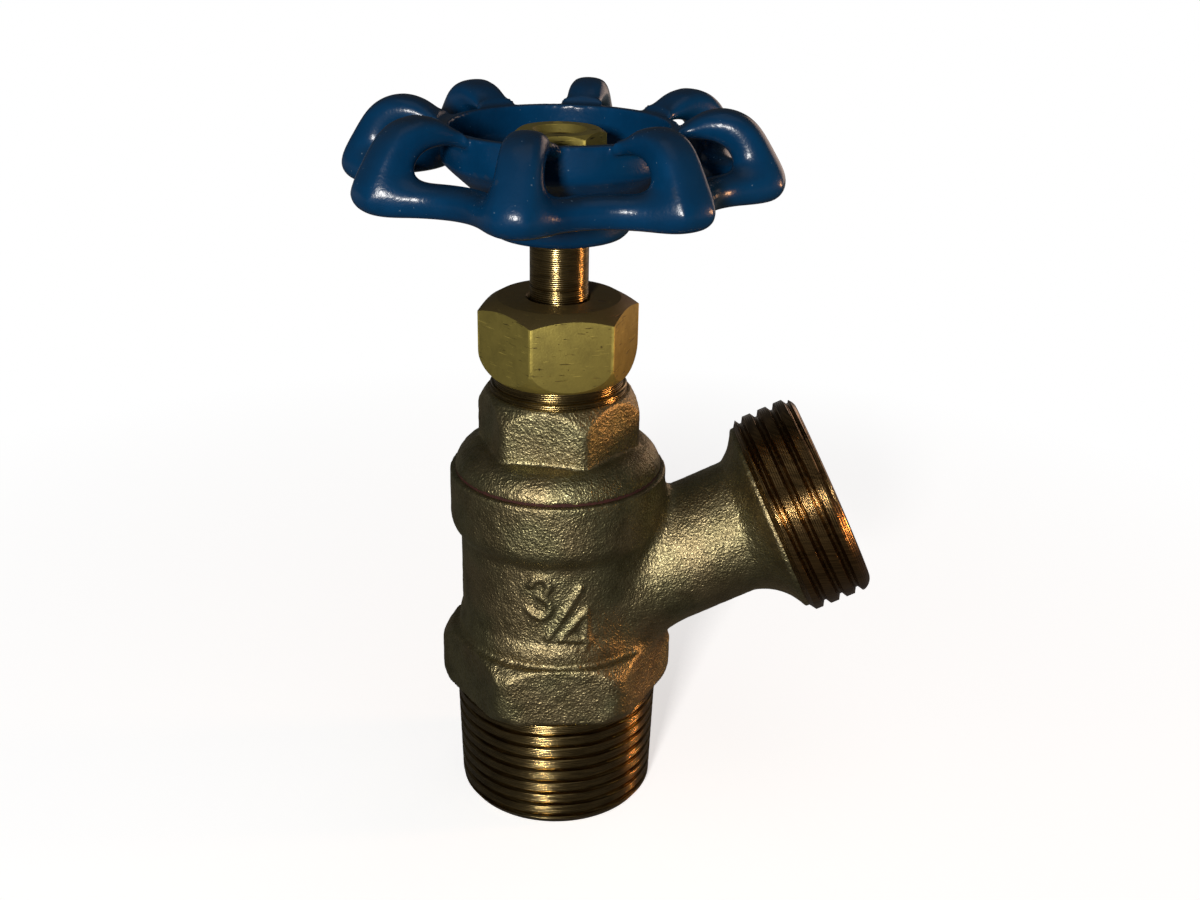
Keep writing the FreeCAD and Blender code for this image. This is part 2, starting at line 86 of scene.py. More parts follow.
class CastingSizes(PropertyGroup):
    thread_length: length("Height of the inlet thread below the hexagon", 15.9)
    hex_flats: length("Width over the flats of the foot", 27.2)
    hex_height: length("Height of the foot", 8.0)
    hex_foot: length("Height of the cone that cuts the foot's lower corners", 2.1)
    hex_brow: length("Height of the rounded cut of the foot's upper corners", 3.9)
    shoulder_height: length("Height of the soft shoulder over the foot", 3.3)
    waist_radius: length("Radius of the round waist", 12.5)
    flare_base: length("Height at which the waist starts to widen", 37.4)
    flare_height: length("Height of the widening", 3.5)
    collar_radius: length("Radius of the collar under the bonnet", 13.8)
    collar_height: length("Height of the straight collar", 5.7)
    mark_width: length("Width of the raised strokes of the size mark", 0.85)
    grain: length("Depth of the sand grain in the surface", 0.09)
    core_radius: length("Radius of the core inside the inlet thread", 11.3)
    corner_round: length("Rounding of the foot's upright edges", 2.6)
    cell: length("Size of the cells that the casting's skin is made from", 0.28)
    blend: count("How far the spout melts into the waist", 150)


class SpoutSizes(PropertyGroup):
    rise: degrees("Angle of the spout over the floor", 25.0)
    cross_height: length("Height at which the spout's axis leaves the valve's axis", 25.8)
    reach: length("Length of the spout from the valve's axis", 39.6)
    tube_radius: length("Outside radius of the cast tube", 8.6)
    tube_lift: length("How far the tube lies above the axis of its thread", 0.6)
    bore_radius: length("Radius of the bore", 6.4)
    mouth_radius: length("Radius of the wide mouth", 9.2)
    mouth_depth: length("Depth of the wide mouth", 7.0)
    thread_length: length("Length of the hose thread", 8.0)
    shoulder_radius: length("Radius of the shoulder behind the thread", 12.6)
    shoulder_length: length("Length of the shoulder behind the thread", 1.1)
    bell_length: length("Length of the bell between tube and shoulder", 6.8)
    core_radius: length("Radius of the core inside the hose thread", 11.4)
    tube_start: length("Distance from the valve's axis at which tube and bore start", 5.0)


class BoreSizes(PropertyGroup):
    inlet: length("Radius of the inlet bore", 9.4)
    seat: length("Radius of the bore through the seat", 6.0)
    seat_lip: length("Outer radius of the raised seat", 7.2)
    seat_drop: length("Depth of the seat under the spout's crossing", 1.7)
    seat_height: length("Height of the raised seat over the chamber's floor", 2.5)
    seat_bore: length("Length of the bore through the seat", 4.2)
    seat_cone: length("Height of the cone between the inlet and the seat", 1.7)
    chamber: length("Radius of the chamber", 9.9)
    collar: length("Radius of the bore that takes the bonnet", 11.05)
    collar_start: length("Height at which the bonnet's bore starts", 38.0)
    recess: length("Radius of the bonnet's recess over the disc holder", 7.5)
    recess_depth: length("Depth of the recess", 1.95)
    thread: length("Radius of the bore for the stem's screw", 4.85)
    guide: length("Radius of the stem's guide", 3.65)
    guide_height: length("Height of the stem's guide", 1.3)
    box: length("Radius of the stuffing box", 5.7)
    box_depth: length("Depth of the stuffing box", 6.9)


class ThreadSizes(PropertyGroup):
    inlet_radius: length("Crest radius at the foot of the casting", 13.4)
    inlet_pitch: length("Pitch of the tapered thread", 1.814)
    inlet_depth: length("Depth of the tapered thread", 0.5)
    hose_radius: length("Crest radius of the hose thread", 13.49)
    hose_pitch: length("Pitch of the hose thread", 2.209)
    hose_depth: length("Depth of the hose thread", 0.7)
    neck_radius: length("Crest radius of the bonnet's neck", 8.0)
    neck_pitch: length("Pitch of the neck thread", 1.27)
    neck_depth: length("Depth of the neck thread", 0.45)
    steps: count("Steps in one turn of a thread", 96, 24)


class BonnetSizes(PropertyGroup):
    flange_radius: length("Radius of the bonnet's flange", 13.1)
    dome_height: length("Height of the dome below the hexagon", 4.3)
    hex_flats: length("Width over the flats", 18.4)
    hex_turn: degrees("Turn of the hexagon about the valve's axis", -13.4)
    hex_height: length("Height of the hexagon", 5.9)
    ring_radius: length("Radius of the turned ring over the hexagon", 8.6)
    ring_height: length("Height of the turned ring over the hexagon", 0.9)
    spigot_radius: length("Radius of the spigot inside the collar", 11.0)
    corner_round: length("Rounding of the hexagon's upright edges", 1.5)
    cell: length("Size of the cells that the casting's skin is made from", 0.22)
    grain: length("Depth of the sand grain in the surface", 0.10)


class NutSizes(PropertyGroup):
    flats: length("Width of the packing nut over its flats", 17.46)
    turn: degrees("Turn of the packing nut", 8.5)
    face_radius: length("Radius of the flat face inside the bevel", 7.6)
    bevel_angle: degrees("Slope of the bevel", 30.0)
    wheel_flats: length("Width of the wheel nut over its flats", 9.53)
    edge: length("Width of the worn edges", 0.18)


class StemSizes(PropertyGroup):
    radius: length("Radius of the stem", 3.6)
    groove_height: length("Height of the fine groove above the packing nut", 1.6)
    groove_depth: length("Depth of the fine groove", 0.12)


class WheelSizes(PropertyGroup):
    radius: length("Radius over the lobes", 26.95)
    lobes: count("Number of lobes and ribs", 8, 3)
    turn: degrees("Turn of the first lobe", -103.0)
    lobe_depth: length("How far the rim dips between two lobes", 5.3)
    tip_radius: length("Radius of a lobe's tip", 5.0)
    rim_setback: length("How far the rim stays inside the ribs", 0.5)
    rim_width: length("Width of the rim at a lobe", 5.2)
    rim_width_dip: length("Width of the rim between two lobes", 4.6)
    rim_rise: length("Height of the rim's underside over the hub's", 5.0)
    rim_height: length("Height of the rim", 4.2)
    rib_width: length("Width of an arched rib", 5.4)
    rib_thickness: length("Thickness of the arch at its crown", 3.8)
    arch_rise: length("Height of the arches over the hub's underside", 15.8)
    band_radius: length("Radius of the upright band", 14.0)
    band_wall: length("Thickness of the upright band", 1.1)
    band_rise: length("Height of the band's foot over the hub's underside", 8.9)
    band_height: length("Height of the upright band", 4.1)
    hub_radius: length("Radius of the hub", 8.5)
    hub_height: length("Height of the hub", 9.2)
    foot_radius: length("Radius of a rib's round foot", 2.3)
    rib_edge: length("Rounding of a rib's edges", 1.7)
    rim_edge: length("Rounding of the rim's edges", 1.35)
    opening: length("Radius of the upper end of the opening in a rib", 2.2)
    cell: length("Size of the cells that the casting's skin is made from", 0.28)
    softness: count("How much the casting's edges are rounded", 6)
    rim_softness: count("How much more the rim and the ribs are rounded", 150)


class FinishColours(PropertyGroup):
    bronze_dark: colour("Hollows of the sand cast bronze", (0.17, 0.14, 0.078))
    bronze_light: colour("Ridges of the sand cast bronze", (0.37, 0.315, 0.195))
    brass: colour("Threads and stem", (0.30, 0.215, 0.088))
    browned: colour("Hose thread", (0.29, 0.178, 0.070))
    nut: colour("Packing nut and wheel nut", (0.36, 0.29, 0.068))
    enamel: colour("Handwheel", (0.0012, 0.032, 0.092))
    gasket: colour("Ring under the bonnet", (0.05, 0.008, 0.005))
    rubber: colour("Seat disc", (0.02, 0.02, 0.02))
    graphite: colour("Packing rings", (0.04, 0.04, 0.045))
    pit: colour("Pits and dark scratches in the nuts", (0.05, 0.035, 0.014))
    # Painted shade laid on the nuts' upward faces.
    grime: colour("Painted shade on the nuts' tops", (0.11, 0.075, 0.032))
    # Dust together with painted shade on the enamel's upward faces.
    dust: colour("Dust on the enamel's tops", (0.010, 0.017, 0.026))
    # Lighter grey for the enamel's edges: rubbed wear together with a painted sheen.
    rubbed: colour("Enamel rubbed thin along the edges", (0.05, 0.06, 0.07))
    speck: colour("Pale specks in the enamel", (0.16, 0.24, 0.32))


class StageSizes(PropertyGroup):
    camera_place: FloatVectorProperty(description="Place of the camera", size=3,
                                      default=(-0.00592, -0.16950, 0.12040), subtype="TRANSLATION",
                                      unit="LENGTH", precision=5)
    camera_turn: FloatVectorProperty(description="Turn of the camera", size=3,
                                     default=(math.radians(67.046), math.radians(-0.985),
                                              math.radians(-3.393)), subtype="EULER", precision=5)
    lens: FloatProperty(description="Focal length in millimetres", default=43.2)
    floor: colour("Colour of the floor", (0.89, 0.90, 0.925))
    fade_start: length("Distance at which the floor starts to fade to white", 25)
    fade_end: length("Distance from which the floor is plain white", 170)
    glow: fraction("Share of the white that the floor itself has near the valve", 0.62)
    mirrored: fraction("Share of the white that polished metal shows", 0.15)
    ambient: fraction("Strength of the light from all round", 0.045)


def deselect():
    if bpy.context.object and bpy.context.object.mode != "OBJECT":
        bpy.ops.object.mode_set(mode="OBJECT")
    bpy.ops.object.select_all(action="DESELECT")


def pick(*pieces):
    deselect()
    for piece in pieces:
        piece.select_set(True)
    bpy.context.view_layer.objects.active = pieces[0]


def edit(piece, mode="VERT"):
    pick(piece)
    bpy.ops.object.mode_set(mode="EDIT")
    bpy.ops.mesh.select_mode(type=mode)
    bpy.ops.mesh.select_all(action="DESELECT")


def edit_all(piece, mode="VERT"):
    edit(piece, mode)
    bpy.ops.mesh.select_all(action="SELECT")


def done():
    bpy.ops.object.mode_set(mode="OBJECT")
    return bpy.context.object


def face_out():
    """Turns every face of the edited piece outwards and ends the editing."""
    bpy.ops.mesh.select_all(action="SELECT")
    bpy.ops.mesh.normals_make_consistent(inside=False)
    return done()


def modify(piece, kind, **settings):
    """Adds one modifier, sets it and applies it."""
    pick(piece)
    bpy.ops.object.modifier_add(type=kind)
    modifier = piece.modifiers[-1]
    for key, value in settings.items():
        setattr(modifier, key, value)
    bpy.ops.object.modifier_apply(modifier=modifier.name)
    return piece


def combine(piece, tool, operation):
    modify(piece, "BOOLEAN", operation=operation, object=tool, solver="EXACT")
    bpy.data.objects.remove(tool)
    return piece


def edit_chosen(piece, mode, chosen):
    """Opens a piece for editing with the vertices, edges or faces of these numbers selected."""
    edit(piece, mode)
    done()
    parts = {"VERT": piece.data.vertices, "EDGE": piece.data.edges,
             "FACE": piece.data.polygons}[mode]
    for index in chosen:
        parts[index].select = True
    bpy.ops.object.mode_set(mode="EDIT")


def apply_place(piece):
    """Puts a piece's place and turn into its mesh."""
    pick(piece)
    bpy.ops.object.transform_apply(location=True, rotation=True, scale=True)
    return piece


def settle(piece, place=(0, 0, 0), turn=(0, 0, 0)):
    """Turns and moves a piece for good."""
    piece.rotation_euler = turn
    piece.location = place
    return apply_place(piece)


def drawn(name, points):
    """Line through the points, pulled out of one vertex."""
    deselect()
    bpy.ops.mesh.primitive_plane_add(size=MM, location=points[0])
    line = bpy.context.object
    line.name = name
    apply_place(line)
    edit_all(line)
    bpy.ops.mesh.merge(type="CENTER")
    here = Vector(points[0])
    for point in points[1:]:
        step = Vector(point) - here
        bpy.ops.mesh.extrude_region_move(TRANSFORM_OT_translate={"value": step})
        here = Vector(point)
    return done()


def pulled(name, points, step):
    """Prism: the outline is filled and pulled along the step."""
    prism = drawn(name, points)
    edit_all(prism)
    bpy.ops.mesh.edge_face_add()
    bpy.ops.mesh.select_mode(type="FACE")
    bpy.ops.mesh.select_all(action="SELECT")
    bpy.ops.mesh.extrude_region_move(TRANSFORM_OT_translate={"value": step})
    return face_out()


def turned(name, outline, steps=128):
    """Solid spun about the Z axis from (radius, height) points, closed on the axis at both ends."""
    closed = [(0, outline[0][1]), *outline, (0, outline[-1][1])]
    solid = drawn(name, [(radius, 0, height) for radius, height in closed])
    edit_all(solid)
    bpy.ops.mesh.spin(steps=steps, angle=math.tau, center=(0, 0, 0), axis=(0, 0, 1))
    bpy.ops.mesh.select_all(action="SELECT")
    bpy.ops.mesh.remove_doubles(threshold=0.001 * MM)
    return face_out()


def shaped(piece, outline, operation="INTERSECT", steps=128):
    """Cuts or adds to a piece with the solid turned from the outline."""
    return combine(piece, turned("tool", outline, steps), operation)


def between(start, end, out, up):
    """Point half way between two points, moved out and up."""
    return ((start[0] + end[0]) / 2 + out, (start[1] + end[1]) / 2 + up)


def arc(start, middle, end, parts=8):
    """Points of the circle through three (radius, height) points, without its start."""
    (ax, az), (bx, bz), (cx, cz) = start, middle, end
    d = 2 * (ax * (bz - cz) + bx * (cz - az) + cx * (az - bz))
    a2, b2, c2 = ax * ax + az * az, bx * bx + bz * bz, cx * cx + cz * cz
    x = (a2 * (bz - cz) + b2 * (cz - az) + c2 * (az - bz)) / d
    z = (a2 * (cx - bx) + b2 * (ax - cx) + c2 * (bx - ax)) / d
    radius = math.hypot(ax - x, az - z)
    first = math.atan2(az - z, ax - x)
    half = math.remainder(math.atan2(bz - z, bx - x) - first, math.tau)
    last = half + math.remainder(math.atan2(cz - z, cx - x) - first - half, math.tau)
    points = []
    for part in range(1, parts + 1):
        angle = first + last * part / parts
        points.append((x + radius * math.cos(angle), z + radius * math.sin(angle)))
    return points


def hexagon(name, flats, base, top, turn=0.0, corner_round=0.0):
    """Hexagonal bar with a flat towards the camera, its long edges rounded."""
    deselect()
    bpy.ops.mesh.primitive_cylinder_add(vertices=6, radius=flats / 2 * FLAT_TO_CORNER,
                                        depth=top - base, location=(0, 0, (top + base) / 2),
                                        rotation=(0, 0, math.radians(30) + turn))
    bar = bpy.context.object
    bar.name = name
    apply_place(bar)
    if corner_round:
        ends = bar.data.vertices
        half = (top - base) / 2
        upright = [edge.index for edge in bar.data.edges
                   if abs(ends[edge.vertices[0]].co.z - ends[edge.vertices[1]].co.z) > half]
        edit_chosen(bar, "EDGE", upright)
        bpy.ops.mesh.bevel(offset=corner_round * math.tan(math.radians(30)), segments=8)
        done()
    return bar


def melted(name, pieces, voxel, times):
    """One skin round overlapping closed pieces, its edges softened as a casting's are."""
    pick(*pieces)
    bpy.ops.object.join()
    piece = bpy.context.object
    piece.name = name
    modify(piece, "REMESH", mode="VOXEL", voxel_size=voxel)
    return modify(piece, "SMOOTH", factor=0.5, iterations=times)


def soften(piece, near, times):
    """Smooths the vertices for which near(place) holds."""
    edit_chosen(piece, "VERT", [vertex.index for vertex in piece.data.vertices if near(vertex.co)])
    bpy.ops.mesh.vertices_smooth(factor=0.5, repeat=times)
    return done()


def round_edges(piece, facing, width):
    """Rounds the edges round the faces whose normal is chosen."""
    edit_chosen(piece, "FACE", [face.index for face in piece.data.polygons if facing(face.normal)])
    bpy.ops.mesh.region_to_loop()
    bpy.ops.mesh.bevel(offset=width, segments=5, clamp_overlap=True)
    return done()


def grained(piece, depth, size):
    """Presses sand grain into the skin."""
    texture = bpy.data.textures.new("sand", "CLOUDS")
    texture.noise_scale = size
    texture.noise_depth = 2
    return modify(piece, "DISPLACE", texture=texture, strength=depth, mid_level=0.5,
                  texture_coords="LOCAL")


def threaded(name, crest, depth, pitch, start, end, steps, taper=0.0, land=0.5):
    """Closed bar with a cut thread: the land is a share of the pitch, the taper widens the bar."""
    root = crest - depth
    flat = pitch * land
    gap = pitch * ROOT_SHARE
    slope = (pitch - flat - gap) / 2
    turns = math.ceil((end - start) / pitch) + 2
    low = start - pitch
    profile = [(root, 0, low), (root, 0, low + gap), (crest, 0, low + gap + slope),
               (crest, 0, low + gap + slope + flat), (root, 0, low + pitch)]
    bar = drawn(name, profile)
    modify(bar, "SCREW", angle=math.tau, screw_offset=pitch, iterations=turns, steps=steps,
           render_steps=steps, use_merge_vertices=True, merge_threshold=0.01 * MM,
           use_smooth_shade=False)
    edit_all(bar)
    bpy.ops.mesh.remove_doubles(threshold=0.01 * MM)
    for cut, side in ((start, "clear_inner"), (end, "clear_outer")):
        bpy.ops.mesh.select_all(action="SELECT")
        bpy.ops.mesh.bisect(plane_co=(0, 0, cut), plane_no=(0, 0, 1), use_fill=True, **{side: True})
    face_out()
    if taper:
        modify(bar, "SIMPLE_DEFORM", deform_method="TAPER", deform_axis="Z",
               factor=taper * (end - start) / crest)
    return bar


def dress(piece, body, node, finish, angle):
    """Gives a finished piece its body, its node and its finish."""
    pick(piece)
    bpy.ops.object.shade_smooth_by_angle(angle=math.radians(angle))
    piece.data.materials.clear()
    piece.data.materials.append(bpy.data.materials[finish])
    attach(piece, body)
    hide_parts(node)
    return piece


class Finish:
    """Node tree of one finish, with the few nodes that all of them use."""

    def __init__(self, name):
        self.material = bpy.data.materials.new(name)
        self.material.use_nodes = True
        self.nodes = self.material.node_tree.nodes
        self.links = self.material.node_tree.links
        self.shader = self.nodes["Principled BSDF"]
        self.place = self.nodes.new("ShaderNodeTexCoord").outputs["Object"]

    def add(self, kind, settings=None, **inputs):
        node = self.nodes.new(kind)
        for key, value in (settings or {}).items():
            setattr(node, key, value)
        for key, value in inputs.items():
            self.feed(value, node.inputs[key.replace("_", " ")])
        return node

    def feed(self, value, socket):
        if isinstance(value, bpy.types.NodeSocket):
            self.links.new(value, socket)
        else:
            socket.default_value = value

    def noise(self, size, detail=2.0, rough=0.5, place=None):
        """Value of a noise whose lumps are size across."""
        node = self.add("ShaderNodeTexNoise", Vector=place or self.place, Scale=1 / size,
                        Detail=detail, Roughness=rough)
        return node.outputs["Fac"]

    def cells(self, size):
        """Distance to the nearest of the random points that lie size apart."""
        return self.add("ShaderNodeTexVoronoi", Vector=self.place,
                        Scale=1 / size).outputs["Distance"]

    def mix(self, factor, first, second, kind="MIX"):
        node = self.nodes.new("ShaderNodeMix")
        node.data_type = "RGBA"
        node.blend_type = kind
        self.feed(factor, node.inputs[0])
        self.feed(first, node.inputs[6])
        self.feed(second, node.inputs[7])
        return node.outputs[2]

    def math(self, kind, first, second=0.0, third=0.0):
        node = self.nodes.new("ShaderNodeMath")
        node.operation = kind
        self.feed(first, node.inputs[0])
        self.feed(second, node.inputs[1])
        self.feed(third, node.inputs[2])
        return node.outputs[0]

    def spread(self, value, low, high, to_low=0.0, to_high=1.0):
        node = self.nodes.new("ShaderNodeMapRange")
        for index, number in enumerate((value, low, high, to_low, to_high)):
            self.feed(number, node.inputs[index])
        return node.outputs[0]

    def bump(self, height, depth, strength=1.0, under=None):
        node = self.add("ShaderNodeBump", Height=height, Distance=depth, Strength=strength)
        if under is not None:
            self.links.new(under, node.inputs["Normal"])
        return node.outputs["Normal"]

    def distance(self, place):
        return self.add("ShaderNodeVectorMath", {"operation": "LENGTH"},
                        Vector=place).outputs["Value"]

    def facing_up(self):
        """How much the surface faces upwards, from -1 to 1."""
        normal = self.nodes.new("ShaderNodeTexCoord").outputs["Normal"]
        return self.add("ShaderNodeSeparateXYZ", Vector=normal).outputs["Z"]

    def turned_place(self, turn, scale=(1, 1, 1)):
        node = self.add("ShaderNodeMapping", Vector=self.place, Rotation=turn, Scale=scale)
        return node.outputs["Vector"]

    def shade(self, **inputs):
        for key, value in inputs.items():
            self.feed(value, self.shader.inputs[key.replace("_", " ")])
        return self.material


def opaque(shade, gain=1.0):
    return (shade[0] * gain, shade[1] * gain, shade[2] * gain, 1.0)


def cast_bronze(colours):
    """Sand cast skin: fine glittering grains, soft lumps and broad patches of brown and grey."""
    finish = Finish("sand_cast_bronze")
    grains = finish.noise(0.26 * MM, 1.5, 0.6)
    crumbs = finish.cells(0.36 * MM)
    patches = finish.noise(3.2 * MM, 3.0, 0.6)
    tone = finish.math("MULTIPLY_ADD", grains, 0.6, finish.math("MULTIPLY", patches, 0.4))
    skin = finish.mix(finish.spread(tone, 0.36, 0.6), opaque(colours.bronze_dark),
                      opaque(colours.bronze_light))
    tarnish = finish.mix(finish.spread(finish.noise(7.0 * MM), 0.4, 0.62),
                         opaque((1.0, 0.95, 0.84)), opaque((0.86, 0.92, 0.80)))
    lumps = finish.bump(finish.noise(0.9 * MM), 0.14 * MM, 0.8)
    rough = finish.bump(grains, 0.12 * MM, 1.0, lumps)
    pits = finish.bump(crumbs, 0.05 * MM, 0.8, rough)
    return finish.shade(Base_Color=finish.mix(1.0, skin, tarnish, "MULTIPLY"), Metallic=1.0,
                        Normal=pits, Roughness=finish.spread(grains, 0.35, 0.65, 0.50, 0.38))


def turned_brass(name, shade, turn=(0, 0, 0), line=0.26, slope=0.042, gloss=0.20):
    """Machined brass with fine tool lines round the axis that the turn makes upright, and brighter
    streaks that are partly polish and partly a painted highlight.
    """
    finish = Finish(name)
    place = finish.turned_place(turn)
    flat = finish.turned_place(turn, (1, 1, 32))
    lines = finish.add("ShaderNodeTexWave", {"wave_type": "BANDS", "bands_direction": "Z"},
                       Vector=place, Scale=0.314 / (line * MM), Distortion=0.3,
                       Detail=2.0).outputs["Fac"]
    streaks_and_highlights = finish.noise(4.0 * MM, 3.0, 0.6, flat)
    stains = finish.noise(2.6 * MM, 4.0, 0.65)
    base = finish.mix(finish.spread(stains, 0.42, 0.7, 0.0, 0.5), opaque(shade),
                      opaque(shade, 0.45))
    # Brighter streaks along the turning: partly polish, partly painted highlight.
    base = finish.mix(finish.spread(streaks_and_highlights, 0.5, 0.75, 0.0, 0.5), base, opaque(shade, 2.1))
    grooves = finish.noise(3.0 * MM, 2.0, 0.5, finish.turned_place(turn, (1, 1, 18)))
    base = finish.mix(finish.spread(grooves, 0.40, 0.54, 0.6, 0.0), base, opaque(shade, 0.3))
    fine = finish.bump(lines, slope * MM, 1.0)
    worn = finish.bump(streaks_and_highlights, 0.015 * MM, 0.8, fine)
    return finish.shade(Base_Color=base, Metallic=1.0,
                        Roughness=finish.spread(stains, 0.3, 0.7, gloss - 0.03, gloss + 0.05),
                        Normal=worn)


def nut_brass(name, colours, corner, grime):
    """Dull olive brass with pits, stains and scratches, its corners lighter with rubbed wear and a
    painted highlight, its upward faces darker with painted shade.
    """
    finish = Finish(name)
    stains = finish.noise(2.4 * MM, 4.0, 0.65)
    base = finish.mix(finish.spread(stains, 0.38, 0.66), opaque(colours.nut),
                      opaque(colours.nut, 0.72))
    specks = finish.cells(0.9 * MM)
    holes = finish.math("LESS_THAN", specks,
                        finish.spread(finish.noise(2.0 * MM), 0.5, 0.75, 0.02, 0.20))
    base = finish.mix(finish.math("MULTIPLY", holes, 0.7), base, opaque(colours.pit))
    scratch = finish.noise(1.3 * MM, 2.0, 0.5,
                           finish.turned_place((0.25, 0.45, 0.3), (0.5, 0.5, 6.0)))
    lines = finish.spread(scratch, 0.68, 0.71)
    base = finish.mix(finish.math("MULTIPLY", lines, 0.8), base, opaque(colours.pit))
    nicks = finish.noise(0.8 * MM, 2.0, 0.5, finish.turned_place((0.5, -0.4, 1.1), (0.3, 0.3, 7.0)))
    base = finish.mix(finish.spread(nicks, 0.68, 0.71, 0.0, 0.7), base, opaque(colours.nut, 2.2))
    # Corners painted lighter: rubbed wear together with a painted highlight.
    across = finish.turned_place((0, 0, 0), (1, 1, 0))
    away = finish.distance(across)
    edge = finish.math("MULTIPLY",
                       finish.spread(away, corner - 0.20 * MM, corner - 0.06 * MM, 0.0, 0.9),
                       finish.spread(finish.noise(1.2 * MM, 3.0), 0.35, 0.6, 0.25, 1.0))
    base = finish.mix(edge, base, opaque(colours.nut, 2.0))
    # Painted shade: the upward faces are darkened, much on the packing nut and little on the wheel
    # nut.
    base = finish.mix(finish.spread(finish.facing_up(), 0.2, 0.6, 0.0, grime), base,
                      opaque(colours.grime))
    fine = finish.bump(finish.noise(0.25 * MM, 3.0, 0.6), 0.03 * MM, 0.8)
    pits = finish.bump(finish.math("ADD", holes, lines), -0.04 * MM, 0.8, fine)
    return finish.shade(Base_Color=base, Metallic=0.7, Normal=pits,
                        Roughness=finish.spread(stains, 0.3, 0.7, 0.46, 0.58))


def wheel_enamel(colours):
    """Deep blue enamel with a fine orange peel; its tops greyer and darker with dust and painted
    shade, its edges lighter where rubbed thin, with a painted sheen there too.
    """
    finish = Finish("blue_enamel")
    tone = finish.noise(5.0 * MM, 3.0, 0.6)
    base = finish.mix(finish.spread(tone, 0.35, 0.7), opaque(colours.enamel),
                      opaque(colours.enamel, 1.3))
    shape = finish.nodes.new("ShaderNodeNewGeometry")
    # Dust together with painted shade: faces that point upwards are greyed and darkened.
    dust_and_top_shade = finish.math("MULTIPLY", finish.spread(finish.facing_up(), 0.35, 0.95, 0.0, 0.75),
                        finish.spread(finish.noise(2.5 * MM, 4.0), 0.3, 0.65, 0.5, 1.0))
    base = finish.mix(dust_and_top_shade, base, opaque(colours.dust))
    # Edges painted lighter grey: rubbed wear together with a painted sheen.
    rubbed = finish.math("MULTIPLY",
                         finish.spread(shape.outputs["Pointiness"], 0.54, 0.6, 0.0, 0.25),
                         finish.spread(finish.noise(1.5 * MM, 3.0), 0.35, 0.65, 0.3, 1.0))
    base = finish.mix(rubbed, base, opaque(colours.rubbed))
    specks = finish.math("LESS_THAN", finish.cells(0.8 * MM),
                         finish.spread(tone, 0.4, 0.65, 0.0, 0.12))
    base = finish.mix(finish.math("MULTIPLY", specks, 0.5), base, opaque(colours.speck))
    ripple = finish.bump(finish.noise(1.6 * MM, 1.0), 0.05 * MM, 0.5)
    peel = finish.bump(finish.noise(0.38 * MM, 2.0), 0.03 * MM, 0.8, ripple)
    return finish.shade(Base_Color=base, Roughness=0.24, Specular_IOR_Level=0.28, Normal=peel)


def plain_finish(name, shade, metallic, rough, lump, depth):
    """Finish of a hidden piece: two close tones and a fine bump."""
    finish = Finish(name)
    spots = finish.noise(lump, 3.0, 0.6)
    base = finish.mix(finish.spread(spots, 0.35, 0.65), opaque(shade), opaque(shade, 0.6))
    return finish.shade(Base_Color=base, Metallic=metallic, Roughness=rough,
                        Normal=finish.bump(spots, depth, 0.8))


class VALVE_OT_finishes(Operator):
    """Makes the finishes and puts them on the frame's own pieces"""
    bl_idname = "valve.finishes"
    bl_label = "Finishes"

    def execute(self, context):
        colours = context.scene.valve_colours
        spout = context.scene.valve_spout
        nuts = context.scene.valve_nuts
        cast_bronze(colours)
        turned_brass("machined_brass", colours.brass, slope=0.030)
        turned_brass("thread_brass", colours.brass)
        turned_brass("spout_brass", colours.browned, turn=(0, spout.rise - math.pi / 2, 0))
        turned_brass("neck_brass", colours.brass)
        nut_brass("olive_brass", colours, nuts.flats / 2 * FLAT_TO_CORNER, 0.85)
        nut_brass("pale_brass", colours, nuts.wheel_flats / 2 * FLAT_TO_CORNER, 0.15)
        wheel_enamel(colours)
        plain_finish("pressed_fibre", colours.gasket, 0.0, 0.8, 0.4 * MM, 0.03 * MM)
        plain_finish("black_rubber", colours.rubber, 0.0, 0.7, 0.5 * MM, 0.02 * MM)
        plain_finish("braided_graphite", colours.graphite, 0.1, 0.6, 0.6 * MM, 0.08 * MM)
        chosen = {"bonnet_gasket": "pressed_fibre", "seat_disc": "black_rubber",
                  "packing_ring_1": "braided_graphite", "packing_ring_2": "braided_graphite",
                  "packing_ring_3": "braided_graphite"}
        for name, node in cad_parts.items():
            node.data.materials.clear()
            node.data.materials.append(bpy.data.materials[chosen.get(name, "machined_brass")])
        return {"FINISHED"}


def place_on_spout(piece, spout, lift=0.0):
    """Moves a piece turned about Z onto the spout, its z the distance from the crossing."""
    up = Vector((-math.sin(spout.rise), 0, math.cos(spout.rise))) * lift
    return settle(piece, Vector((0, 0, spout.cross_height)) + up, (0, math.pi / 2 - spout.rise, 0))


def water_way(spout, bores):
    """Tool with the form of the water way: inlet, seat, chamber, spout bore and mouth."""
    seat = spout.cross_height - bores.seat_drop
    floor = seat - bores.seat_height
    web = seat - bores.seat_bore
    outline = [(bores.inlet, -CLEAR), (bores.inlet, web - bores.seat_cone), (bores.seat, web),
               (bores.seat, seat), (bores.seat_lip, seat), (bores.seat_lip, floor),
               (bores.chamber, floor), (bores.chamber, bores.collar_start),
               (bores.collar, bores.collar_start), (bores.collar, 50 * MM)]
    way = turned("water_way", outline, BORE_STEPS)
    mouth_start = spout.reach - spout.mouth_depth
    throat = turned("throat", [(spout.bore_radius, spout.tube_start),
                               (spout.bore_radius, mouth_start)], BORE_STEPS)
    place_on_spout(throat, spout, spout.tube_lift)
    mouth = turned("mouth", [(spout.bore_radius - spout.tube_lift, mouth_start - 3 * MM),
                             (spout.mouth_radius, mouth_start),
                             (spout.mouth_radius, spout.reach + CLEAR)], BORE_STEPS)
    place_on_spout(mouth, spout)
    return combine(combine(way, throat, "UNION"), mouth, "UNION")


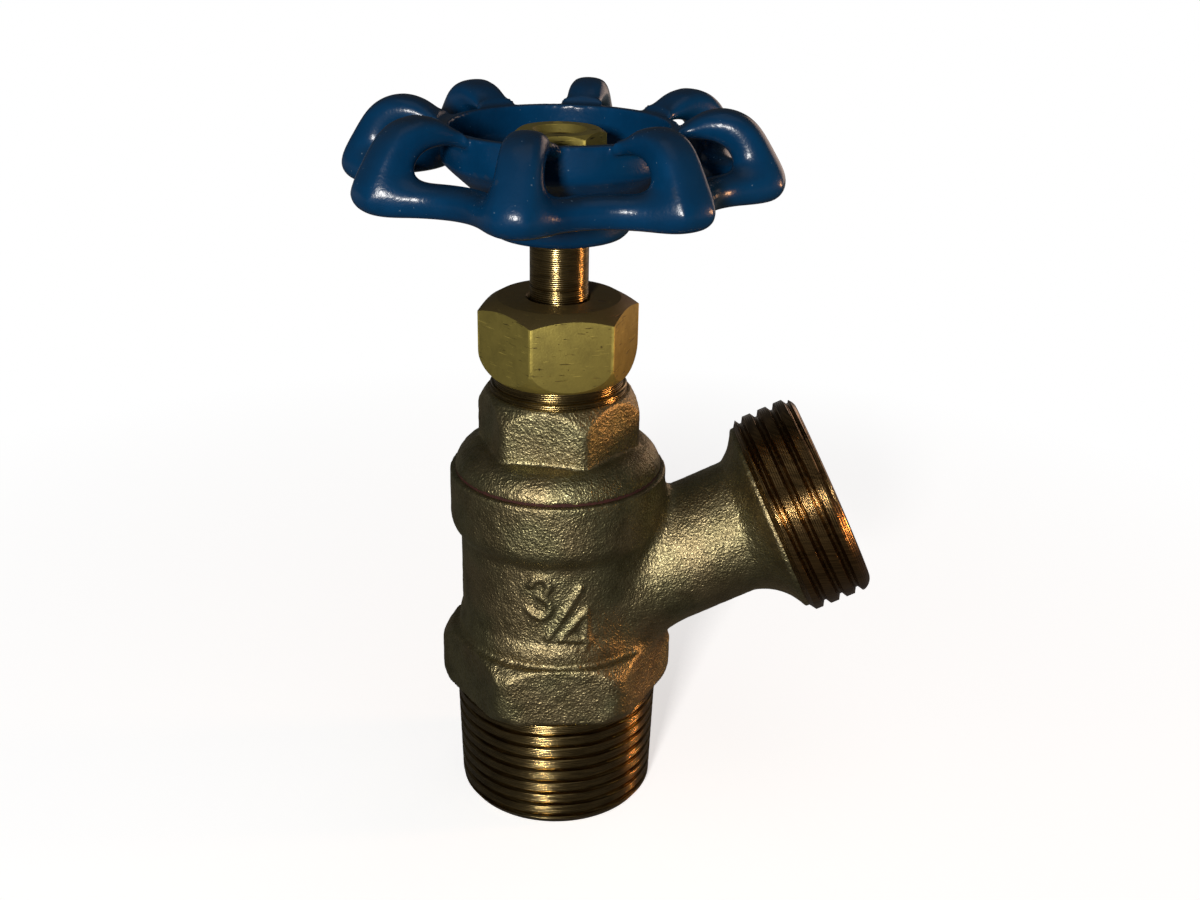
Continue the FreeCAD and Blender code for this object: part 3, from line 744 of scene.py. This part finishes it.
# Strokes of the raised size mark, as (azimuth in degrees from the front, height in millimetres)
SIZE_MARK = (
    ((-18.1, 35.2), (-15.2, 36.1), (-11.2, 36.5), (-7.8, 36.2), (-6.6, 35.3), (-8.3, 34.4),
     (-12.3, 33.8), (-7.7, 33.5), (-5.5, 32.7), (-6.6, 31.7), (-10.6, 31.0), (-15.2, 31.2),
     (-19.3, 32.1)),
    ((12.1, 35.3), (2.1, 31.6), (-7.9, 27.9)),
    ((15.0, 26.4), (15.2, 32.1), (7.5, 30.0), (-0.2, 28.0), (9.0, 27.8), (18.6, 27.5)),
)


class VALVE_OT_casting(Operator):
    """Casts the body: foot, waist, collar and spout in one soft skin, then bores its water way"""
    bl_idname = "valve.casting"
    bl_label = "Body casting"

    def execute(self, context):
        sizes = context.scene.valve_casting
        spout = context.scene.valve_spout
        pieces = [self.shell(sizes), self.foot(sizes), *self.spout(spout)]
        pieces += [self.stroke(sizes, points) for points in SIZE_MARK]
        body = melted("valve_casting", pieces, sizes.cell, 2)

        out = Vector((math.cos(spout.rise), 0, math.sin(spout.rise)))
        side = Vector((-math.sin(spout.rise), 0, math.cos(spout.rise)))
        start = Vector((0, 0, spout.cross_height)) + side * spout.tube_lift

        def near_root(place):
            along = (place - start).dot(out)
            off_tube = (place - start - out * along).length - spout.tube_radius
            off_waist = math.hypot(place.x, place.y) - sizes.waist_radius
            return along > 0 and abs(off_tube) < 2.6 * MM and abs(off_waist) < 2.8 * MM

        soften(body, near_root, sizes.blend)
        grained(body, sizes.grain, 1.0 * MM)
        combine(body, water_way(spout, context.scene.valve_bores), "DIFFERENCE")
        dress(body, "body_group", "valve_body", "sand_cast_bronze", 50)
        return {"FINISHED"}

    def shell(self, sizes):
        """Core, soft shoulder over the foot, waist, widening and collar."""
        base = sizes.thread_length
        top = base + sizes.hex_height
        waist = sizes.waist_radius
        ledge = (sizes.hex_flats / 2 - 0.8 * MM, top)
        crease = (waist, sizes.flare_base)
        step = (waist + 0.45 * MM, sizes.flare_base + 1 * MM)
        rim = (sizes.collar_radius, sizes.flare_base + sizes.flare_height)
        end = rim[1] + sizes.collar_height
        edge = 0.15 * MM
        outline = [(sizes.core_radius, base - 1.4 * MM), (sizes.core_radius, base),
                   (ledge[0], base), ledge]
        outline += arc(ledge, (waist + 0.42 * MM, top + sizes.shoulder_height / 2),
                       (waist, top + sizes.shoulder_height))
        outline.append(crease)
        outline += arc(crease, between(crease, step, -0.08 * MM, 0.08 * MM), step)
        outline += arc(step, between(step, rim, 0.22 * MM, -0.22 * MM), rim)
        return turned("valve_casting", outline + [(rim[0], end - edge), (rim[0] - edge, end)])

    def foot(self, sizes):
        """Hexagon with rounded edges, its lower corners cut by a cone, the upper ones by a brow."""
        base = sizes.thread_length
        top = base + sizes.hex_height
        corner = sizes.hex_flats / 2 * FLAT_TO_CORNER
        block = hexagon("foot", sizes.hex_flats, base, top, 0.0, sizes.corner_round)
        brow = (corner, top - sizes.hex_brow)
        return shaped(block, [(corner - 1.1 * MM, base), (corner, base + sizes.hex_foot), brow,
                              *arc(brow, (corner - 0.6 * MM, top - 1.65 * MM),
                                   (corner - 1.8 * MM, top))])

    def spout(self, spout):
        """Tube, thickest where it leaves the waist, and the bell that carries the hose thread."""
        thread_start = spout.reach - spout.thread_length
        shoulder = thread_start - spout.shoulder_length
        radius = spout.tube_radius
        swell = (radius + 1.3 * MM, 9.5 * MM)
        tube = turned("tube", [(radius, spout.tube_start), swell,
                               *arc(swell, (radius + 0.3 * MM, 13 * MM), (radius, 16.5 * MM)),
                               (radius, shoulder)])
        place_on_spout(tube, spout, spout.tube_lift)
        neck = (radius - spout.tube_lift - 0.1 * MM, shoulder - spout.bell_length)
        lip = (spout.shoulder_radius, shoulder)
        thread_core = thread_start + 0.2 * MM
        bell = turned("bell", [neck, *arc(neck, between(neck, lip, -0.9 * MM, 0.9 * MM), lip),
                               (lip[0], thread_core), (spout.core_radius, thread_core),
                               (spout.core_radius, spout.reach - 1.5 * MM)])
        return tube, place_on_spout(bell, spout)

    def stroke(self, sizes, points):
        """Raised stroke on the waist."""
        places = []
        for azimuth, height in points:
            turn = math.radians(azimuth)
            places.append((sizes.waist_radius * math.sin(turn),
                           -sizes.waist_radius * math.cos(turn), height * MM))
        bead = drawn("stroke", places)
        pick(bead)
        bpy.ops.object.convert(target="CURVE")
        bead.data.bevel_depth = sizes.mark_width / 2
        bead.data.bevel_resolution = 3
        bead.data.use_fill_caps = True
        bpy.ops.object.convert(target="MESH")
        return bpy.context.object


def bored(bar, radius, start, end):
    deselect()
    bpy.ops.mesh.primitive_cylinder_add(vertices=BORE_STEPS, radius=radius,
                                        depth=end - start + 2 * CLEAR,
                                        location=(0, 0, (start + end) / 2))
    return combine(bar, apply_place(bpy.context.object), "DIFFERENCE")


class VALVE_OT_inlet_thread(Operator):
    """Cuts the tapered inlet thread"""
    bl_idname = "valve.inlet_thread"
    bl_label = "Inlet thread"

    def execute(self, context):
        sizes = context.scene.valve_threads
        high = context.scene.valve_casting.thread_length
        crest = sizes.inlet_radius - high * PIPE_TAPER
        past = crest + 2 * MM
        bar = threaded("inlet_thread", crest, sizes.inlet_depth, sizes.inlet_pitch, 0.0,
                       high + 0.3 * MM, sizes.steps, PIPE_TAPER, 0.6)
        shaped(bar, [(crest - 1.6 * MM, -CLEAR), (crest - 0.6 * MM, 0), (crest + 0.1 * MM, 1 * MM),
                     (past, 3 * MM), (past, high + CLEAR)])
        bored(bar, context.scene.valve_bores.inlet, 0, high)
        dress(bar, "body_group", "valve_body", "thread_brass", 30)
        return {"FINISHED"}


class VALVE_OT_hose_thread(Operator):
    """Cuts the hose thread on the spout's end"""
    bl_idname = "valve.hose_thread"
    bl_label = "Hose thread"

    def execute(self, context):
        sizes = context.scene.valve_threads
        spout = context.scene.valve_spout
        end = spout.reach
        start = end - spout.thread_length - 0.6 * MM
        crest = sizes.hose_radius
        past = crest + 0.1 * MM
        low = crest - 0.9 * MM
        lead = (past, end - 2 * MM)
        bar = threaded("hose_thread", crest, sizes.hose_depth, sizes.hose_pitch, start, end,
                       sizes.steps)
        shaped(bar, [(low, start - CLEAR), (low, start), (past, start + 0.7 * MM), lead,
                     *arc(lead, (crest - 0.35 * MM, end - 0.6 * MM), (crest - 1.3 * MM, end))])
        bored(bar, spout.mouth_radius, start, end)
        place_on_spout(bar, spout)
        dress(bar, "body_group", "valve_body", "spout_brass", 30)
        return {"FINISHED"}


def stem_way(low, high, bores):
    """Outline of the bonnet's inside: recess, bore of the stem's screw, guide and stuffing box."""
    recess = low + bores.recess_depth
    floor = high - bores.box_depth
    shelf = floor - bores.guide_height
    return [(bores.recess, low - CLEAR), (bores.recess, recess), (bores.thread, recess),
            (bores.thread, shelf), (bores.guide, shelf), (bores.guide, floor), (bores.box, floor),
            (bores.box, high + CLEAR)]


class VALVE_OT_bonnet(Operator):
    """Casts the bonnet's dome and hexagon, and turns its neck"""
    bl_idname = "valve.bonnet"
    bl_label = "Bonnet"

    def execute(self, context):
        sizes = context.scene.valve_bonnet
        low, high = (corner.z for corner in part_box("bonnet"))
        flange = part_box("bonnet_gasket")[1].z
        hex_top = flange + sizes.dome_height + sizes.hex_height
        inside = stem_way(low, high, context.scene.valve_bores)

        pieces = [self.dome(sizes, low, flange), self.block(sizes, flange, hex_top)]
        casting = melted("bonnet_casting", pieces, sizes.cell, 2)
        grained(casting, sizes.grain, 0.9 * MM)
        shaped(casting, inside, "DIFFERENCE", BORE_STEPS)
        dress(casting, "body_group", "bonnet", "sand_cast_bronze", 50)

        neck = self.neck(sizes, context.scene.valve_threads, hex_top, high)
        shaped(neck, inside, "DIFFERENCE", BORE_STEPS)
        dress(neck, "body_group", "bonnet", "neck_brass", 30)
        return {"FINISHED"}

    def dome(self, sizes, low, flange):
        """Spigot, thin lip over the gasket and crowned dome, with a groove under the hexagon."""
        inner = sizes.hex_flats / 2
        groove = flange + sizes.dome_height - 1.2 * MM
        under = (sizes.flange_radius - 0.3 * MM, flange - 0.2 * MM)
        lip = (sizes.flange_radius + 0.04 * MM, flange)
        crown = between((sizes.flange_radius, flange), (inner, groove), 0.7 * MM, 0.75 * MM)
        return turned("bonnet_casting", [(sizes.spigot_radius, low), (sizes.spigot_radius, flange),
                                         (under[0], flange), under, (lip[0], under[1]), lip,
                                         *arc(lip, crown, (inner + 0.35 * MM, groove)),
                                         (inner - 0.6 * MM, groove - 0.2 * MM)])

    def block(self, sizes, flange, top):
        """Hexagon with rounded edges and a rounded brow."""
        corner = sizes.hex_flats / 2 * FLAT_TO_CORNER
        bar = hexagon("block", sizes.hex_flats, flange, top, sizes.hex_turn, sizes.corner_round)
        brow = (corner, top - 4 * MM)
        return shaped(bar, [(corner, flange), brow,
                            *arc(brow, (corner - 0.55 * MM, top - 1.8 * MM),
                                 (corner - 1.65 * MM, top))])

    def neck(self, sizes, threads, hex_top, high):
        """Threaded neck with a turned ring at its foot."""
        start = hex_top - 0.6 * MM
        ring = sizes.ring_radius
        ring_top = hex_top + sizes.ring_height
        crest = threads.neck_radius
        past, root = crest + 0.1 * MM, crest - 0.5 * MM
        neck = threaded("bonnet_neck", crest, threads.neck_depth, threads.neck_pitch, start, high,
                        threads.steps)
        shaped(neck, [(past, start - CLEAR), (past, high - 0.5 * MM), (root, high)])
        return shaped(neck, [(ring, start), (ring, ring_top - 0.2 * MM),
                             (ring - 0.2 * MM, ring_top), (root, ring_top + 0.05 * MM),
                             (root, ring_top + 0.3 * MM)], "UNION")


def milled_nut(name, flats, low, high, form, hole, edge, turn=0.0):
    """Hexagonal nut cut to one outline and bored to another, its edges worn."""
    nut = hexagon(name, flats, low, high, turn)
    shaped(nut, form, "INTERSECT", FINE_STEPS)
    shaped(nut, hole, "DIFFERENCE")
    return modify(nut, "BEVEL", width=edge, segments=2, limit_method="ANGLE",
                  angle_limit=math.radians(24))


class VALVE_OT_packing_nut(Operator):
    """Mills the packing nut"""
    bl_idname = "valve.packing_nut"
    bl_label = "Packing nut"

    def execute(self, context):
        sizes = context.scene.valve_nuts
        low, high = (corner.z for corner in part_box("packing_nut"))
        corner = sizes.flats / 2 * FLAT_TO_CORNER
        drop = (corner - sizes.face_radius) * math.tan(sizes.bevel_angle)
        foot = (8.3 * MM, low)
        roof = high - 2.4 * MM
        form = [foot, *arc(foot, (corner - 0.5 * MM, low + 1.5 * MM), (corner, low + 3.6 * MM)),
                (corner, high - drop), (sizes.face_radius, high)]
        hole = [(8.05 * MM, low - CLEAR), (8.05 * MM, roof), (3.8 * MM, roof),
                (3.8 * MM, high - 0.3 * MM), (4.1 * MM, high), (4.1 * MM, high + CLEAR)]
        nut = milled_nut("packing_nut_milled", sizes.flats, low, high, form, hole, sizes.edge,
                         sizes.turn)
        dress(nut, "body_group", "packing_nut", "olive_brass", 30)
        return {"FINISHED"}


class VALVE_OT_stem(Operator):
    """Turns the stem that shows between the packing nut and the wheel"""
    bl_idname = "valve.stem"
    bl_label = "Stem"

    def execute(self, context):
        sizes = context.scene.valve_stem
        low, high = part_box("stem")
        nut_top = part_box("packing_nut")[1].z
        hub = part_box("handwheel")[0].z
        groove = nut_top + sizes.groove_height
        deep = sizes.radius - sizes.groove_depth
        thread_base = low.z + 4.8 * MM
        bore_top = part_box("packing_washer")[0].z - 1.3 * MM
        thread_top = bore_top - 6.85 * MM
        end = high.z
        outline = [(4.2 * MM, low.z), (4.2 * MM, low.z + 2 * MM), (2.6 * MM, low.z + 2 * MM),
                   (2.6 * MM, thread_base), (4.3 * MM, thread_base),
                   (4.8 * MM, thread_base + 0.5 * MM), (4.8 * MM, thread_top - 0.5 * MM),
                   (4.3 * MM, thread_top), (sizes.radius, thread_top),
                   (sizes.radius, groove - 0.15 * MM), (deep, groove - 0.08 * MM),
                   (deep, groove + 0.08 * MM), (sizes.radius, groove + 0.15 * MM),
                   (sizes.radius, hub), (2.5 * MM, hub), (2.5 * MM, end - 3 * MM),
                   (2.35 * MM, end - 3 * MM), (2.35 * MM, end - 0.25 * MM), (2.1 * MM, end),
                   (1.2 * MM, end), (0.5 * MM, end - 0.35 * MM), (0, end - 0.4 * MM)]
        stem = turned("stem_turned", outline, BORE_STEPS)
        dress(stem, "spindle", "stem", "machined_brass", 30)
        return {"FINISHED"}


def wavy(sizes, lobe, dip, tip, height):
    """Outline of tangent arcs: a round tip at each lobe and a hollow between each two."""
    half = math.pi / sizes.lobes
    tip_centre = lobe - tip
    inset = tip - dip
    hollow_centre = (tip_centre ** 2 - inset ** 2) / (2 * (tip_centre * math.cos(half) + inset))
    hollow = hollow_centre - dip
    touch = tip / (tip + hollow)
    join = (tip_centre + (hollow_centre * math.cos(half) - tip_centre) * touch,
            hollow_centre * math.sin(half) * touch)
    before = Vector((join[0], -join[1]))
    after = Matrix.Rotation(2 * half, 2) @ before
    points = []
    for index in range(sizes.lobes):
        turn = 2 * half * index
        parts = arc(before, (lobe, 0), join, 10)
        parts += arc(join, (dip * math.cos(half), dip * math.sin(half)), after, 10)
        for x, y in parts:
            points.append((x * math.cos(turn) - y * math.sin(turn),
                           x * math.sin(turn) + y * math.cos(turn), height))
    return points


class VALVE_OT_handwheel(Operator):
    """Casts the handwheel: hub, bowl, upright band, arched ribs and lobed rim in one soft skin"""
    bl_idname = "valve.handwheel"
    bl_label = "Handwheel"

    def execute(self, context):
        sizes = context.scene.valve_wheel
        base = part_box("handwheel")[0].z
        rim_base = base + sizes.rim_rise
        rim_top = rim_base + sizes.rim_height
        lobe = sizes.radius - sizes.rim_setback
        dip = sizes.radius - sizes.lobe_depth
        rim = pulled("rim", wavy(sizes, lobe, dip, sizes.tip_radius, rim_base),
                     (0, 0, sizes.rim_height))
        round_edges(rim, lambda normal: abs(normal.z) > 0.9, sizes.rim_edge)
        hole = pulled("hole", wavy(sizes, lobe - sizes.rim_width, dip - sizes.rim_width_dip, 2 * MM,
                                   rim_base - CLEAR), (0, 0, sizes.rim_height + 2 * CLEAR))
        combine(rim, hole, "DIFFERENCE")
        ribs = self.ribs(sizes, base, rim_base, rim_top)
        bowl = self.bowl(sizes, base, rim_base)
        wheel = melted("handwheel_cast", [rim, bowl, *ribs], sizes.cell, sizes.softness)
        outside = sizes.band_radius + 0.6 * MM
        soften(wheel, lambda place: math.hypot(place.x, place.y) > outside, sizes.rim_softness)
        settle(wheel, turn=(0, 0, sizes.turn))
        dress(wheel, "spindle", "handwheel", "blue_enamel", 80)
        return {"FINISHED"}

    def bowl(self, sizes, base, floor):
        """Hub, cone and upright band, hollow above."""
        band, hub = sizes.band_radius, sizes.hub_radius
        band_base = base + sizes.band_rise
        band_top = band_base + sizes.band_height
        inside = band - sizes.band_wall
        boss = hub - 0.9 * MM
        return turned("bowl", [(hub - 0.7 * MM, base), (hub, base + 0.7 * MM),
                               (hub, floor - 1.2 * MM), (band - 1.1 * MM, band_base - 1.1 * MM),
                               (band, band_base), (band, band_top), (inside, band_top),
                               (inside, band_base + 0.5 * MM), (hub + 0.3 * MM, floor),
                               (boss, floor + 1.2 * MM), (boss, base + sizes.hub_height)])

    def ribs(self, sizes, base, rim_base, rim_top):
        """Arched ribs: up from the band, over in one curve, down a slope and round the rim."""
        radius = (sizes.radius - sizes.band_radius - 1.5 * MM) / 2
        foot = sizes.foot_radius
        z = base + sizes.arch_rise - radius
        band_top = base + sizes.band_rise + sizes.band_height
        x = sizes.band_radius + radius * math.cos(math.asin((band_top - z) / radius))
        start = (sizes.band_radius, band_top)
        foot_x, foot_z = sizes.radius - foot, rim_base + foot
        apart = math.hypot(foot_x - x, foot_z - z)
        lean = math.pi / 2 - math.acos((radius - foot) / apart) - math.atan2(foot_z - z, foot_x - x)

        def slope_start(x, z, radius, share=1.0):
            return (x + radius * math.sin(lean * share), z + radius * math.cos(lean * share))

        leave, flank = slope_start(x, z, radius), slope_start(foot_x, foot_z, foot)
        opening = sizes.opening
        open_x = x - 0.9 * MM
        open_top = base + sizes.arch_rise - sizes.rib_thickness
        open_z = open_top - opening
        open_leave = slope_start(open_x, open_z, opening)
        open_foot = open_leave[0] + (open_leave[1] - rim_top) / math.tan(lean)
        band_inside = sizes.band_radius - sizes.band_wall / 2
        corner = foot * math.sqrt(0.5)
        outline = [(band_inside, open_top), (band_inside, band_top), start,
                   *arc(start, (x, z + radius), leave, 14), flank,
                   *arc(flank, (foot_x + corner, foot_z - corner), (foot_x, rim_base), 10),
                   (open_foot, rim_base), (open_foot, rim_top), open_leave,
                   *arc(open_leave, slope_start(open_x, open_z, opening, 0.5),
                        (open_x, open_top), 6)]
        first = pulled("rib", [(along, -sizes.rib_width / 2, height) for along, height in outline],
                       (0, sizes.rib_width, 0))
        round_edges(first, lambda normal: abs(normal.y) > 0.9, sizes.rib_edge)
        ribs = [first]
        for index in range(1, sizes.lobes):
            pick(first)
            bpy.ops.object.duplicate()
            ribs.append(settle(bpy.context.object, turn=(0, 0, math.tau * index / sizes.lobes)))
        return ribs


class VALVE_OT_wheel_nut(Operator):
    """Mills the nut that holds the wheel"""
    bl_idname = "valve.wheel_nut"
    bl_label = "Wheel nut"

    def execute(self, context):
        sizes = context.scene.valve_nuts
        low, high = (corner.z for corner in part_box("wheel_nut"))
        face = sizes.wheel_flats / 2
        corner = face * FLAT_TO_CORNER
        form = [(corner, low), (corner, high - 0.5 * MM), (face, high)]
        hole = [(2.4 * MM, low - CLEAR), (2.4 * MM, high - 0.9 * MM), (3.2 * MM, high),
                (3.2 * MM, high + CLEAR)]
        nut = milled_nut("wheel_nut_milled", sizes.wheel_flats, low, high, form, hole, sizes.edge)
        dress(nut, "spindle", "wheel_nut", "pale_brass", 30)
        return {"FINISHED"}


# Name, azimuth from the camera's side towards +X, elevation, distance, size, power and colour
LAMPS = (
    ("key", -16, 16, 0.75, 0.09, 5.0, (1.0, 0.97, 0.92)),
    ("warm", 92, 1, 0.60, 0.08, 1.5, (1.0, 0.50, 0.22)),
    ("edge", 138, 2, 0.60, 0.40, 0.6, (1.0, 0.72, 0.58)),
    ("top", 20, 80, 1.3, 1.0, 0.8, (1.0, 1.0, 1.0)),
)


class VALVE_OT_stage(Operator):
    """Lays the floor and sets the lamps and the camera"""
    bl_idname = "valve.stage"
    bl_label = "Stage"

    def execute(self, context):
        sizes = context.scene.valve_stage
        deselect()
        bpy.ops.mesh.primitive_plane_add(size=8.0, location=(0, 0, 0))
        floor = context.object
        floor.name = "floor"
        floor.data.materials.append(self.floor_finish(sizes))

        world = bpy.data.worlds.new("studio")
        context.scene.world = world
        world.use_nodes = True
        tree = world.node_tree
        sky = tree.nodes["Background"]
        sky.inputs["Color"].default_value = (1.0, 1.0, 1.0, 1.0)
        seen = tree.nodes.new("ShaderNodeMapRange")
        seen.inputs["To Min"].default_value = sizes.ambient
        tree.links.new(tree.nodes.new("ShaderNodeLightPath").outputs["Is Camera Ray"],
                       seen.inputs["Value"])
        tree.links.new(seen.outputs["Result"], sky.inputs["Strength"])

        for lamp in LAMPS:
            self.lamp(*lamp)

        deselect()
        bpy.ops.object.camera_add(location=sizes.camera_place, rotation=sizes.camera_turn)
        camera = context.object
        camera.name = "camera"
        camera.data.lens = sizes.lens
        camera.data.sensor_width = 36.0
        camera.data.clip_start = 0.01
        camera.data.clip_end = 20.0
        context.scene.camera = camera
        context.scene.view_settings.view_transform = "Standard"
        return {"FINISHED"}

    def floor_finish(self, sizes):
        """Matt floor that keeps the shadow near the valve and fades to plain white further out."""
        surface = Finish("floor")
        away = surface.distance(surface.place)
        near = surface.spread(away, sizes.fade_start, sizes.fade_end, 1.0, 0.0)
        far = surface.spread(away, sizes.fade_end, 3 * sizes.fade_end, 0.0, sizes.mirrored)
        path = surface.nodes.new("ShaderNodeLightPath").outputs
        seen = path["Is Camera Ray"]
        mirrored = surface.math("ADD", path["Is Glossy Ray"], path["Is Transmission Ray"])
        lit = surface.mix(near, opaque((0, 0, 0)), opaque(sizes.floor))
        matt = surface.mix(seen, opaque(sizes.floor, 0.16), lit)
        direct = surface.math("MULTIPLY", seen, surface.spread(near, 0.0, 1.0, 1.0, sizes.glow))
        glow = surface.math("ADD", direct, surface.math("MULTIPLY", mirrored, far))
        return surface.shade(Base_Color=matt, Roughness=0.9, Specular_IOR_Level=0.0,
                             Emission_Color=opaque((1, 1, 1)), Emission_Strength=glow)

    def lamp(self, name, azimuth, elevation, distance, size, power, shade):
        """Soft square lamp that shines at the middle of the valve."""
        side, up = math.radians(azimuth), math.radians(elevation)
        away = Vector((math.sin(side) * math.cos(up), -math.cos(side) * math.cos(up), math.sin(up)))
        bpy.ops.object.light_add(type="AREA", location=Vector((0, 0, 0.05)) + away * distance)
        lamp = bpy.context.object
        lamp.name = name
        lamp.rotation_euler = away.to_track_quat("Z", "Y").to_euler()
        lamp.data.shape = "SQUARE"
        lamp.data.size = size
        lamp.data.energy = power
        lamp.data.color = shade


STEPS = ("finishes", "casting", "inlet_thread", "hose_thread", "bonnet", "packing_nut", "stem",
         "handwheel", "wheel_nut", "stage")


class VALVE_PT_pieces(Panel):
    """Lists the pieces of the valve, the stage and all their sizes"""
    bl_label = "Boiler drain valve"
    bl_idname = "VALVE_PT_pieces"
    bl_space_type = "VIEW_3D"
    bl_region_type = "UI"
    bl_category = "Valve"

    def draw(self, context):
        for step in STEPS:
            self.layout.operator("valve." + step)
        for name, group in GROUPS.items():
            for key in group.__annotations__:
                self.layout.prop(getattr(context.scene, name), key, text=key.replace("_", " "))


GROUPS = {"valve_casting": CastingSizes, "valve_spout": SpoutSizes, "valve_bores": BoreSizes,
          "valve_threads": ThreadSizes, "valve_bonnet": BonnetSizes, "valve_nuts": NutSizes,
          "valve_stem": StemSizes, "valve_wheel": WheelSizes, "valve_colours": FinishColours,
          "valve_stage": StageSizes}
CLASSES = (*GROUPS.values(), VALVE_OT_finishes, VALVE_OT_casting, VALVE_OT_inlet_thread,
           VALVE_OT_hose_thread, VALVE_OT_bonnet, VALVE_OT_packing_nut, VALVE_OT_stem,
           VALVE_OT_handwheel, VALVE_OT_wheel_nut, VALVE_OT_stage, VALVE_PT_pieces)


def register():
    for cls in CLASSES:
        bpy.utils.register_class(cls)
    for name, group in GROUPS.items():
        setattr(bpy.types.Scene, name, PointerProperty(type=group))


def unregister():
    for name in GROUPS:
        delattr(bpy.types.Scene, name)
    for cls in reversed(CLASSES):
        bpy.utils.unregister_class(cls)


def main():
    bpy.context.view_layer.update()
    register()
    for step in STEPS:
        getattr(bpy.ops.valve, step)()


if __name__ == "__main__":
    main()
